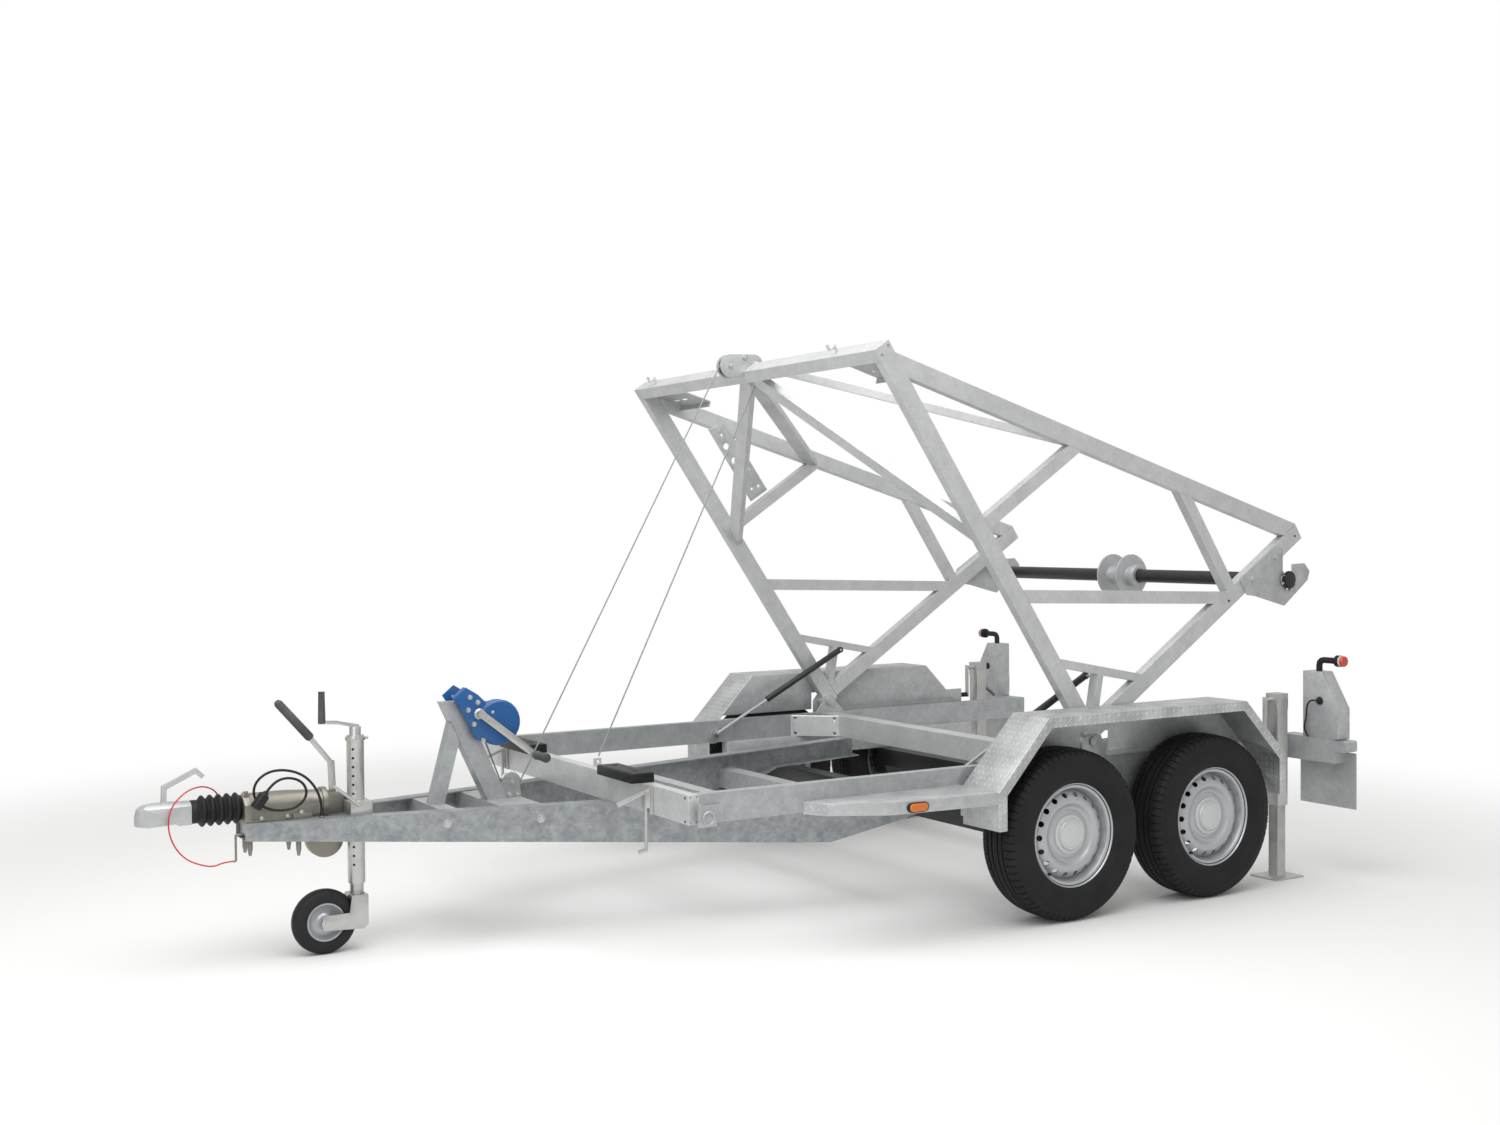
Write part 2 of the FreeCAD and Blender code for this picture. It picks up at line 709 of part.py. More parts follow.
def make_wheels():
    rear_face = BACKPLATE_OUT + DRUM_GAP - TRACK_HALF
    for name, axle_x in (("front", 0), ("rear", AXLE_SPACING)):
        for side, word in ((-1, "left"), (1, "right")):
            origin = Vector(axle_x, side * TRACK_HALF, AXLE_Z)
            axis = Vector(0, side, 0)
            save(f"rim_{name}_{word}", [rim_solid(origin, axis, rear_face)])
            save(f"tyre_{name}_{word}", [tyre_solid(origin, axis)])


# Tilting frame

BEAM_CENTRE = away(APEX, FRONT_ARM_ANGLE, FRONT_ARM_LENGTH)


def beam_corner(along, across):
    """Corner of the top beam: along the front arm, and towards its rear edge."""
    point = away(BEAM_CENTRE, FRONT_ARM_ANGLE, along * BEAM_WIDTH / 2)
    return away(point, FRONT_ARM_ANGLE - 90, across * BEAM_DEPTH / 2)


def top_beam_block():
    ends = [beam_corner(-1, -1), beam_corner(-1, 1), beam_corner(1, 1), beam_corner(1, -1)]
    return slab_y(ends, -FRAME_OUT, FRAME_OUT)


def long_bar(through, angle, back, forth, depth):
    """Frame member through a point, longer than it ends up."""
    point = from_apex(through)
    return bar(away(point, angle, -back), away(point, angle, forth), depth, FRAME_IN, FRAME_OUT)


def frame_members():
    """One side frame's tubes by name, each trimmed against its neighbours."""
    y0 = FRAME_IN
    y1 = FRAME_OUT
    boss = rod_y(PIVOT_X, PIVOT_Z, BOSS_R, y0 - 10, y1 + 10)
    arm_top = away(BEAM_CENTRE, FRONT_ARM_ANGLE, -BEAM_WIDTH / 2)
    arm_low = away(APEX, FRONT_ARM_ANGLE, -45)
    front_arm = bar(arm_low, arm_top, ARM_DEPTH, y0, y1).cut(boss)

    chord_start = beam_corner(-1, 1)
    chord_mid = away(chord_start, CHORD_ANGLE - 90, ARM_DEPTH / 2)
    chord_far = away(chord_mid, CHORD_ANGLE, 2400)
    above = bar(away(chord_mid, CHORD_ANGLE + 90, ARM_DEPTH + 50),
                away(chord_far, CHORD_ANGLE + 90, ARM_DEPTH + 50), ARM_DEPTH + 100, y0 - 5, y1 + 5)

    rear_end = away(APEX, REAR_ARM_ANGLE, REAR_ARM_LENGTH)
    rear_arm = bar(APEX, rear_end, ARM_DEPTH, y0, y1)
    rear_arm = trimmed(rear_arm, [front_arm, boss, above])

    chord = bar(away(chord_mid, CHORD_ANGLE, -60), chord_far, ARM_DEPTH, y0, y1)
    rear_line = bar(APEX, away(rear_end, REAR_ARM_ANGLE, 600), ARM_DEPTH, y0 - 1, y1 + 1)
    chord = trimmed(chord, [front_arm, rear_line, top_beam_block()])

    diagonal = trimmed(long_bar(DIAGONAL_THROUGH, DIAGONAL_ANGLE, 300, 900, BRACE_DEPTH),
                       [front_arm, chord])
    rear_brace = trimmed(long_bar(REAR_BRACE_THROUGH, REAR_BRACE_ANGLE, 400, 900, BRACE_DEPTH),
                         [chord, rear_arm])
    cross = bar(from_apex(CROSS_BRACE_FRONT), from_apex(CROSS_BRACE_REAR), BRACE_DEPTH, y0, y1, 60)
    cross = trimmed(cross, [front_arm, rear_arm])

    gusset = bar(from_apex(GUSSET_BRACE_FRONT), from_apex(GUSSET_BRACE_REAR), GUSSET_BRACE_DEPTH,
                 y0, y1, 60)
    gusset = trimmed(gusset, [front_arm, rear_arm])
    strut = bar(from_apex(GUSSET_STRUT_TOP), from_apex(GUSSET_STRUT_LOW), GUSSET_BRACE_DEPTH, y0, y1)
    strut = trimmed(strut, [gusset, front_arm, rear_arm])
    stud = rod_y(*SPRING_TOP, SPRING_STUD_R, SPRING_Y - SPRING_EYE_WIDTH / 2, y0 + 1)
    gusset = fuse([gusset, strut, stud])
    return {
        "front_arm": front_arm,
        "rear_arm": rear_arm,
        "chord": chord,
        "braces": [diagonal, rear_brace, cross, gusset],
    }


def make_side_frames(members):
    boss_in = PIVOT_PLATE_IN + PIVOT_PLATE_WALL + BOSS_GAP
    boss_out = FRAME_OUT + PIVOT_OUTER_GAP - BOSS_GAP
    boss = rod_y(PIVOT_X, PIVOT_Z, BOSS_R, boss_in, boss_out)
    arm = fuse([members["front_arm"], boss])
    arm = arm.cut(rod_y(PIVOT_X, PIVOT_Z, PIVOT_BOLT_R + RUNNING_FIT, boss_in - 1, boss_out + 1))
    save("tilt_front_arms", both_sides(arm))
    save("tilt_rear_arms", both_sides(members["rear_arm"]))
    save("tilt_chords", both_sides(members["chord"]))
    braces = []
    for brace in members["braces"]:
        braces += both_sides(brace)
    save("tilt_braces", braces)


def rope_hook(y):
    """Bent round bar on the top beam's upper face."""
    foot = beam_corner(1, 0)
    rise = away(foot, FRONT_ARM_ANGLE, 26)
    reach = away(rise, FRONT_ARM_ANGLE + 90, 26)
    tip = away(reach, FRONT_ARM_ANGLE, 22)
    bends = [Vector(x, y, z) for x, z in (foot, rise, reach, tip)]
    legs = [flat_rod(a, b, 6, HOLE_FLATS) for a, b in zip(bends, bends[1:])]
    corners = [box(p.x - 5, p.x + 5, y - 5, y + 5, p.z - 5, p.z + 5) for p in bends[1:3]]
    return fuse(legs + corners)


def make_top_beam():
    beam = top_beam_block()
    holes = []
    for side in NEAR_SIDE_FIRST:
        for across in (-0.6, 0.6):
            x, z = beam_corner(0.5 * across, across)
            holes.append(flat_rod_y(x, z, END_HOLE_R, side * (FRAME_OUT - END_HOLE_DEPTH),
                                    side * (FRAME_OUT + 1), HOLE_FLATS))
    beam = drilled(beam, holes)
    save("top_beam", [fuse([beam, rope_hook(278 - FRAME_OUT), rope_hook(FRAME_OUT - 167)])])


def channel(start, end, up):
    """Stay of channel section between two points, open on the side away from up."""
    length = end.sub(start).Length
    block = turned_box(length, STAY_WIDTH, STAY_DEPTH, start, end, up)
    inside = turned_box(length + 2, STAY_WIDTH - 2 * STAY_WALL, STAY_DEPTH, start, end, up)
    along = end.sub(start).normalize()
    across = up.cross(along).normalize()
    over = along.cross(across)
    inside.translate(over * -STAY_WALL)
    inside.translate(along * -1)
    return block.cut(inside)


def stay(head, head_y, foot, up):
    """Stay from the top beam out to a side frame, longer than it ends up."""
    start = Vector(head[0], head_y, head[1])
    end = Vector(foot[0], FRAME_IN, foot[1])
    way = end.sub(start).normalize() * 80
    return channel(start.sub(way), end.add(way), up)


def make_stays():
    clear = CHEEK_IN + CHEEK_WALL + 1
    between = box(-1200, 1200, clear, FRAME_IN, 1000, 2300)
    beam = top_beam_block()
    turn = math.radians(FRONT_ARM_ANGLE + 90)
    up = Vector(math.cos(turn), 0, math.sin(turn))
    low = stay(beam_corner(-1, 0), clear + 11, from_apex(LOW_STAY_FOOT), up)
    low = largest(low.common(between).cut(beam))
    high = stay(beam_corner(0, 1), clear + 51, from_apex(HIGH_STAY_FOOT), AXIS_Z * -1)
    high = largest(high.common(between).cut(Part.makeCompound([beam, low])))
    save("top_stays", both_sides(low) + both_sides(high))


def shelf_plate():
    """Folded shelf inside a side frame, with two long slots and a hole."""
    start = away(beam_corner(-1, 1), CHORD_ANGLE - 90, 20)
    end = away(start, CHORD_ANGLE, SHELF_LENGTH)
    shelf = bar(start, end, SHELF_WALL, FRAME_IN - SHELF_WIDTH, FRAME_IN)
    lip = bar(end, away(end, CHORD_ANGLE - 90, SHELF_LIP), SHELF_WALL, FRAME_IN - SHELF_WIDTH, FRAME_IN)
    shelf = fuse([shelf, lip]).cut(top_beam_block())
    up = away((0, 0), CHORD_ANGLE + 90, 12)
    middle = away(start, CHORD_ANGLE, SHELF_LENGTH * 0.6)
    drills = []
    for in_from_frame, half in ((62, 24), (134, 24), (205, 8)):
        y = FRAME_IN - in_from_frame
        slot = box(middle[0] - 10, middle[0] + 10, y - half, y + half,
                   middle[1] - up[1], middle[1] + up[1])
        drills.append(slot)
    return largest(drilled(shelf, drills))


def mounting_plate():
    """Five-cornered plate inside the far front corner, drilled for a light board."""
    outline = [(-661, 1260), (-433, 928), (-344, 983), (-470, 1161), (-583, 1287)]
    plate = slab_y([from_apex(point) for point in outline], FRAME_IN - MOUNT_WALL, FRAME_IN)
    drills = []
    for radius, point in ((7, (-428, 987)), (7, (-393, 1002)), (7, (-468, 1037)), (7, (-446, 1082)),
                          (16, (-523, 1117)), (16, (-566, 1182)), (7, (-590, 1235))):
        x, z = from_apex(point)
        drills.append(flat_rod_y(x, z, radius, FRAME_IN - MOUNT_WALL - 1, FRAME_IN + 1, HOLE_FLATS))
    return drilled(plate, drills)


def make_tilt_plates():
    save("tilt_plates", both_sides(shelf_plate()) + [mounting_plate()])


def make_hook_plates():
    """Plates with an open slot and a horn that the spindle drops into."""
    slot = SPINDLE_R + SLOT_CLEARANCE
    y0 = FRAME_OUT
    y1 = FRAME_OUT + HOOK_WALL
    horn_top = SPINDLE_Z + slot + 39.7
    corners = [(-282, 2), (-244, -57), (-196, -63), (-20, -108), (123, -3), (136, 35), (104, 69)]
    outline = [moved((SPINDLE_X, SPINDLE_Z), dx, dz) for dx, dz in corners]
    outline += [
        (SPINDLE_X + slot, horn_top - 4),
        (SPINDLE_X + slot, horn_top + 27),
        (SPINDLE_X - slot, horn_top + 63),
        (SPINDLE_X - 93, horn_top + 63),
        (SPINDLE_X - 279, SPINDLE_Z + 18),
    ]
    plate = slab_y(outline, y0, y1)
    way_in = box(SPINDLE_X - slot, SPINDLE_X + slot, y0 - 1, y1 + 1, SPINDLE_Z, horn_top + 64)
    over_horn = box(SPINDLE_X, SPINDLE_X + slot + 40, y0 - 1, y1 + 1, horn_top, horn_top + 64)
    seat = rod_y(SPINDLE_X, SPINDLE_Z, slot, y0 - 1, y1 + 1)
    plate = drilled(plate, [way_in, over_horn, seat])
    bolts = []
    for dx, dz in ((-78, 96), (-215, 7)):
        x, z = moved((SPINDLE_X, SPINDLE_Z), dx, dz)
        bolts.append(hexagon(x, z, 12, y1, y1 + 8))
    save("hook_plates", both_sides(fuse([plate] + bolts)))


# Pulleys

def grooved_wheel(centre, radius, bore):
    """Rope sheave with a V groove and a round bore."""
    origin = Vector(centre[0], 0, centre[1])
    sheave = faceted(origin, AXIS_Y, [
        (-SHEAVE_HALF, radius), (-SHEAVE_HALF + 3, radius), (0, radius - SHEAVE_GROOVE),
        (SHEAVE_HALF - 3, radius), (SHEAVE_HALF, radius)], 20)
    return sheave.cut(rod_y(*centre, bore, -SHEAVE_HALF - 1, SHEAVE_HALF + 1))


def top_sheave_centre():
    """Centre of the rope sheave, in front of the top beam and above it."""
    above = away(BEAM_CENTRE, FRONT_ARM_ANGLE, BEAM_WIDTH / 2 + 48)
    return away(above, FRONT_ARM_ANGLE + 90, 66)


def make_top_pulley():
    """Cheek plates and rope sheave at the middle of the top beam."""
    sheave = top_sheave_centre()
    tail = away(sheave, FRONT_ARM_ANGLE - 90, CHEEK_LENGTH)
    cheeks = []
    for side in NEAR_SIDE_FIRST:
        y0 = min(side * CHEEK_IN, side * (CHEEK_IN + CHEEK_WALL))
        y1 = y0 + CHEEK_WALL
        plate = fuse([
            bar(sheave, tail, 2 * CHEEK_R, y0, y1),
            flat_rod_y(*sheave, CHEEK_R, y0, y1),
            flat_rod_y(*tail, CHEEK_R, y0, y1),
        ])
        cheeks.append(plate.cut(top_beam_block()))
    pin_end = CHEEK_IN + CHEEK_WALL + 6
    pin = rod_y(*sheave, TOP_PIN_R, -pin_end, pin_end)
    spacer = flat_rod_y(*tail, TOP_PIN_R, -pin_end, pin_end)
    save("top_pulley_cheeks", [fuse(cheeks + [pin, spacer])])
    save("top_pulley_sheave", [grooved_wheel(sheave, TOP_PULLEY_R, TOP_PIN_R + RUNNING_FIT)])


# Pivot brackets

def make_pivot_brackets():
    y0 = PIVOT_PLATE_IN
    y1 = y0 + PIVOT_PLATE_WALL
    outline = [(PIVOT_X - 74, RAIL_TOP), (PIVOT_X + 89, RAIL_TOP), (PIVOT_X + 30, PIVOT_Z + 6),
               (PIVOT_X + 18, PIVOT_Z + 26), (PIVOT_X - 18, PIVOT_Z + 26), (PIVOT_X - 30, PIVOT_Z + 6)]
    inner = slab_y(outline, y0, y1)
    outer_in = FRAME_OUT + PIVOT_OUTER_GAP
    outer_out = outer_in + PIVOT_OUTER_WALL
    low = RAIL_TOP - 33
    outer = slab_y([(PIVOT_X - 53, low), (PIVOT_X + 72, low), (PIVOT_X + 72, PIVOT_Z - 10),
                    (PIVOT_X + 32, PIVOT_Z + 25), (PIVOT_X - 32, PIVOT_Z + 25), (PIVOT_X - 53, PIVOT_Z)],
                   outer_in, outer_out)
    spacer = box(PIVOT_X - 45, PIVOT_X + 45, RAIL_OUT, outer_in, low, RAIL_TOP - 3)
    bolt = rod_y(PIVOT_X, PIVOT_Z, PIVOT_BOLT_R, y0 - BOLT_HEAD, outer_out + BOLT_HEAD)
    head = hexagon(PIVOT_X, PIVOT_Z, 20, y0 - BOLT_HEAD - 2, y0)
    nut = hexagon(PIVOT_X, PIVOT_Z, 20, outer_out, outer_out + BOLT_HEAD - 2)
    save("pivot_brackets", both_sides(fuse([inner, outer, spacer, bolt, head, nut])))


# Spindle

def make_spindle():
    """Tube across the hooks, with a guide spool and a clamp ring on it."""
    tube = rod_y(SPINDLE_X, SPINDLE_Z, SPINDLE_R, -SPINDLE_HALF, SPINDLE_HALF)
    save("spindle_tube", [tube])
    origin = Vector(SPINDLE_X, 0, SPINDLE_Z)
    near_out = SPOOL_NEAR_Y - 20
    far_out = SPOOL_FAR_Y + 28
    spool = fuse([
        faceted(origin, AXIS_Y, [(near_out, SPOOL_HUB_R), (far_out, SPOOL_HUB_R)], SPOOL_FLATS),
        faceted(origin, AXIS_Y, [(SPOOL_NEAR_Y, SPOOL_R), (SPOOL_NEAR_Y + SPOOL_WALL, SPOOL_R)], SPOOL_FLATS),
        faceted(origin, AXIS_Y, [(SPOOL_FAR_Y, SPOOL_R), (SPOOL_FAR_Y + SPOOL_WALL, SPOOL_R)], SPOOL_FLATS),
        faceted(origin, AXIS_Y, [(near_out - CLAMP_RING_WIDTH, CLAMP_RING_R), (near_out, CLAMP_RING_R)],
                SPOOL_FLATS),
    ])
    bore = rod_y(SPINDLE_X, SPINDLE_Z, SPINDLE_R + SLOT_CLEARANCE, near_out - CLAMP_RING_WIDTH - 1,
                 far_out + 1)
    save("spindle_spool", [spool.cut(bore)])


# Gas springs

def gas_spring_stud():
    """Stud and its plate on a rail's inner face, which carry a gas spring's lower eye."""
    stud_end = SPRING_Y + SPRING_EYE_WIDTH / 2 + SOFT_GAP
    half = SPRING_PLATE / 2
    stud = rod_y(SPRING_LOW_X, SPRING_LOW_Z, SPRING_STUD_R, stud_end, RAIL_IN)
    plate = box(SPRING_LOW_X - half, SPRING_LOW_X + half, stud_end + 4, RAIL_IN,
                SPRING_LOW_Z - half, SPRING_LOW_Z + half)
    return fuse([stud, plate])


def make_gas_springs():
    low = Vector(SPRING_LOW_X, SPRING_Y, SPRING_LOW_Z)
    top = Vector(SPRING_TOP[0], SPRING_Y, SPRING_TOP[1])
    way = low.sub(top).normalize()
    half = SPRING_EYE_WIDTH / 2
    mouth = top.add(way * SPRING_TUBE_LENGTH)
    eye = rod_y(*SPRING_TOP, SPRING_EYE_R, SPRING_Y - half, SPRING_Y + half)
    body = fuse([eye, rod(top.add(way * 10), mouth, SPRING_TUBE_R)])
    pin_hole = rod_y(*SPRING_TOP, SPRING_STUD_R + RUNNING_FIT, SPRING_Y - half - 1, SPRING_Y + half + 1)
    bore = rod(mouth.sub(way * SPRING_BORE_DEPTH), mouth.add(way), SPRING_ROD_R + RUNNING_FIT)
    body = drilled(body, [pin_hole, bore])
    rod_eye = rod_y(SPRING_LOW_X, SPRING_LOW_Z, SPRING_EYE_R, SPRING_Y - half, SPRING_Y + half)
    shaft = fuse([rod_eye, rod(mouth.sub(way * SPRING_ROD_INSIDE), low, SPRING_ROD_R)])
    save("gas_cylinder_right", [body])
    save("gas_rod_right", [shaft])
    save("gas_cylinder_left", [other_side(body)])
    save("gas_rod_left", [other_side(shaft)])


# Winch

def make_winch_post():
    floor = RAIL_BOTTOM - DRAWBAR_WALL
    half = POST_WIDTH / 2
    angle = math.degrees(math.atan2(POST_FOOT[1] - POST_TOP[1], POST_FOOT[0] - POST_TOP[0]))
    post = bar(away(POST_TOP, angle, -60), away(POST_FOOT, angle, 60), POST_DEPTH, -half, half)
    above = box(POST_TOP[0] - 390, POST_FOOT[0] + 335, -200, 200, floor, 1200)
    level_cut = box(POST_TOP[0] - 200, POST_TOP[0] + 200, -half - 1, half + 1, POST_TOP[1] - 10, 1200)
    strut = bar(moved(POST_TOP, 12, -130), (POST_TOP[0] - 54, floor), 50, -half + 5, half - 5, 40)
    post = fuse([post.cut(level_cut), strut]).common(above)
    inner = CHEEK_IN
    outer = CHEEK_IN + CHEEK_WALL
    x = LOW_PULLEY_X
    outline = [(x - 79, floor), (x + 36, floor), (x + 29, LOW_PULLEY_Z + 12), (x - 19, LOW_PULLEY_Z + 18),
               (x - 79, floor + 40)]
    plates = [slab_y(outline, -outer, -inner), slab_y(outline, inner, outer)]
    pin = rod_y(x, LOW_PULLEY_Z, LOW_PIN_R, -outer - 4, outer + 4)
    save("winch_post", [largest(fuse([post] + plates + [pin]))])


def make_winch():
    """Geared hand winch: gear case with a round cover, drum between flanges, far side plate."""
    drum = Vector(WINCH_DRUM[0], 0, WINCH_DRUM[1])
    plate = [moved(POST_TOP, dx, dz) for dx, dz in (
        (-4, 8), (40, 44), (84, 17), (110, -8), (165, -90), (122, -160), (83, -149), (60, -105), (25, -37))]
    case = fuse([
        slab_y(plate, WINCH_CASE_OUT, WINCH_CASE_IN),
        faceted(drum, AXIS_Y, [(WINCH_CASE_OUT - 6, WINCH_COVER_R - 8), (WINCH_CASE_OUT, WINCH_COVER_R),
                               (WINCH_CASE_IN, WINCH_COVER_R)], 24),
        slab_y(plate, WINCH_FAR_IN, WINCH_FAR_OUT),
        faceted(drum, AXIS_Y, [(WINCH_FAR_IN, WINCH_FLANGE_R), (WINCH_FAR_OUT, WINCH_FLANGE_R)], 20),
        faceted(drum, AXIS_Y, [(WINCH_CASE_IN, WINCH_CORE_R), (WINCH_FAR_OUT + 12, WINCH_CORE_R)], 10),
        faceted(drum, AXIS_Y, [(WINCH_CASE_IN + 4, WINCH_ROPE_R), (WINCH_FAR_IN - 4, WINCH_ROPE_R)], 16),
        bar(moved(POST_TOP, 32, 6), moved(POST_TOP, 82, -102), 6, WINCH_CASE_OUT, WINCH_FAR_OUT),
    ])
    angle = math.degrees(math.atan2(POST_FOOT[1] - POST_TOP[1], POST_FOOT[0] - POST_TOP[0]))
    post = bar(away(POST_TOP, angle, -60), POST_FOOT, POST_DEPTH, -POST_WIDTH / 2, POST_WIDTH / 2)
    case = largest(case.cut(post))
    save("winch_body", [case])

    hand = moved(WINCH_SHAFT, *CRANK_REACH)
    crank = fuse([
        flat_rod_y(*WINCH_SHAFT, 11, CRANK_FACE, WINCH_CASE_OUT),
        bar(WINCH_SHAFT, hand, 26, CRANK_FACE, CRANK_FACE + CRANK_WALL, 13),
        flat_rod_y(*hand, 8, CRANK_FACE - 105, CRANK_FACE),
        faceted(Vector(hand[0], CRANK_FACE - 100, hand[1]), AXIS_Y,
                [(0, 15), (6, 18), (70, 14), (88, 17)], 16),
    ])
    save("winch_crank", [largest(crank.cut(case))])
    pulley = (LOW_PULLEY_X, LOW_PULLEY_Z)
    save("lower_pulley", [grooved_wheel(pulley, LOW_PULLEY_R, LOW_PIN_R + RUNNING_FIT)])


def tangent_rope(first, first_r, second, second_r, crossed):
    """Rope that leaves one round at its rear side and meets the next one."""
    between = Vector(second[0] - first[0], 0, second[1] - first[1])
    sign = -1 if crossed else 1
    slant = (first_r - sign * second_r) / between.Length
    along = between.normalize()
    normal = Vector(along.z, 0, -along.x) * math.sqrt(1 - slant * slant) + along * slant
    start = Vector(first[0], 0, first[1]) + normal * first_r
    end = Vector(second[0], 0, second[1]) + normal * (sign * second_r)
    return rod(start, end, ROPE_R)


def make_ropes():
    """Lift rope over the lower pulley to the top sheave, and the return rope."""
    pulley = (LOW_PULLEY_X, LOW_PULLEY_Z)
    low_r = LOW_PULLEY_R - ROPE_SEAT
    top_r = TOP_PULLEY_R - ROPE_SEAT
    lift = tangent_rope(pulley, low_r, top_sheave_centre(), top_r, True)
    drum_r = WINCH_ROPE_R + ROPE_SEAT
    take_up = tangent_rope(WINCH_DRUM, drum_r, pulley, low_r, False)
    eye = Vector(CROSS_REAR_X + 18, -110, RAIL_TOP + 27)
    head = beam_corner(-1, 1)
    back = rod(eye, Vector(head[0] + 4, ROPE_SIDE, head[1] - 4), ROPE_R)
    save("lift_ropes", [lift, take_up, back])


# Coupling and overrun device

def coupling_shell():
    """Pressed head: side view, plan and cross section in one, with the ball's socket."""
    x = BALL_X
    z = COUPLING_Z
    rear = HEAD_REAR_X - BALL_X
    side = [(-96, -22), (-96, 6), (-88, 30), (-66, 43), (-36, 49), (24, 50), (42, 46), (rear, 46),
            (rear, -28), (36, -28), (24, -20), (-60, -25)]
    plan = [(-96, 14), (-86, 29), (-58, 41), (-16, 46), (22, 43), (42, 37), (rear, 37)]
    section = [(-47, -30), (-47, 12), (-38, 34), (-20, 47), (0, 51), (20, 47), (38, 34), (47, 12), (47, -30)]
    body = slab_y([(x + dx, z + dz) for dx, dz in side], -60, 60)
    outline = [(x + dx, y) for dx, y in plan] + [(x + dx, -y) for dx, y in reversed(plan)]
    body = body.common(slab_z(outline, z - 60, z + 60))
    body = body.common(slab_x([(y, z + dz) for y, dz in section], x - 100, x + rear))
    centre = Vector(x, 0, z)
    socket = faceted(centre, AXIS_Z, [(-40, BALL_R + 2), (-12, BALL_R), (6, BALL_R), (22, BALL_R * 0.55)], 20)
    return body.cut(socket)


def coupling_handle():
    """Lift handle: short upright, long sloping grip and a turned-down end."""
    bends = [(BALL_X + dx, COUPLING_Z + dz) for dx, dz in ((-5, 44), (-3, 98), (100, 147), (119, 128))]
    pieces = [bar(a, b, 15, -11, 11, 5) for a, b in zip(bends, bends[1:])]
    return fuse(pieces)


def make_coupling():
    save("coupling_head", [largest(fuse([coupling_shell(), coupling_handle()]))])

    length = DRAWBAR_FRONT_X - HEAD_REAR_X
    pitch = length / (BELLOWS_RIBS + 1)
    valley = BELLOWS_CUFF_R + 4
    stations = [(0, BELLOWS_CUFF_R), (pitch * 0.9, BELLOWS_CUFF_R)]
    for number in range(BELLOWS_RIBS):
        start = pitch * (0.9 + number)
        stations += [(start + pitch / 2, BELLOWS_R), (start + pitch, valley)]
    stations.append((length, valley))
    origin = Vector(HEAD_REAR_X, 0, COUPLING_Z + NECK_RISE)
    save("coupling_bellows", [faceted(origin, AXIS_X, stations, BELLOWS_FLATS)])


def overrun_body():
    """Tube of the overrun device, flat below, that tapers to the rear."""
    middle = COUPLING_Z + 4
    front = DRAWBAR_FRONT_X + FLANGE_PLATE
    length = JOCKEY_X - 15 - front
    sizes = [(0, HOUSING_R), (length * 0.35, HOUSING_R), (length * 0.75, HOUSING_R - 9),
             (length, HOUSING_R - 30)]
    tube = faceted(Vector(front, 0, middle), AXIS_X, sizes, 20)
    outline = [(front + along, half) for along, half in sizes]
    outline += [(front + along, -half) for along, half in reversed(sizes)]
    skirt = slab_z(outline, RAIL_BOTTOM, middle)
    above = box(front, front + length, -HOUSING_R - 5, HOUSING_R + 5, RAIL_BOTTOM, middle + 80)
    return fuse([tube, skirt]).common(above)


def make_housing():
    """Overrun device on the drawbar: flange, tube, clamp, bolts and the brake sector below."""
    front = DRAWBAR_FRONT_X
    base = RAIL_BOTTOM
    half = HOUSING_R + 10
    flange = slab_x([(-half, base), (-half, base + 60), (-34, base + 84), (34, base + 84),
                     (half, base + 60), (half, base)], front, front + FLANGE_PLATE)
    foot = box(front, front + 165, -half, half, base, base + 8)
    clamp = box(front + 160, front + 225, -half - 8, half + 8, base, base + 18)
    band_x = front + 272
    band = faceted(Vector(band_x, 0, COUPLING_Z + 4), AXIS_X, [(0, HOUSING_R), (18, HOUSING_R)], 20)
    band = band.common(box(band_x, band_x + 18, -HOUSING_R - 5, HOUSING_R + 5, base, base + 120))
    stub = flat_rod(Vector(front + 12, -30, base + 80), Vector(front + 12, -30, base + 104), 7, 6)
    housing = fuse([flange, foot, clamp, band, stub, overrun_body()])
    gland_top = Vector(*CABLE_ROUTE[0])
    gland = flat_rod(Vector(gland_top.x, gland_top.y, base), gland_top, 9)
    bolts = []
    drawbar = slab_y(drawbar_side(0, 0), -RAIL_OUT, RAIL_OUT)
    for dx, out in ((22, 34), (179, 62)):
        for side in NEAR_SIDE_FIRST:
            start = Vector(front + dx, side * out, drawbar_low(front + dx) - 54)
            bolt = faceted(start, AXIS_Z, [(0, 5), (24, 9), (60, 9)], HOLE_FLATS)
            bolts.append(bolt.cut(drawbar))
    sector_x = front + 285
    sector = flat_rod_y(sector_x, base - 88, 64, -20, 20, 24)
    hanger = box(sector_x - 12, sector_x + 12, -14, 14, base - 60, base)
    save("overrun_housing", [fuse([housing, sector, hanger]), breakaway_arm(), gland] + bolts)


def breakaway_arm():
    """Bent bar in front of the drawbar that the breakaway cable pulls."""
    end = Vector(*BREAKAWAY_ROUTE[0])
    bend = Vector(DRAWBAR_FRONT_X - 28, end.y, end.z)
    top = Vector(bend.x, end.y, RAIL_BOTTOM - 38)
    root = Vector(DRAWBAR_FRONT_X, end.y, top.z)
    return fuse([flat_rod(a, b, 4, 8) for a, b in ((root, top), (top, bend), (bend, end))])


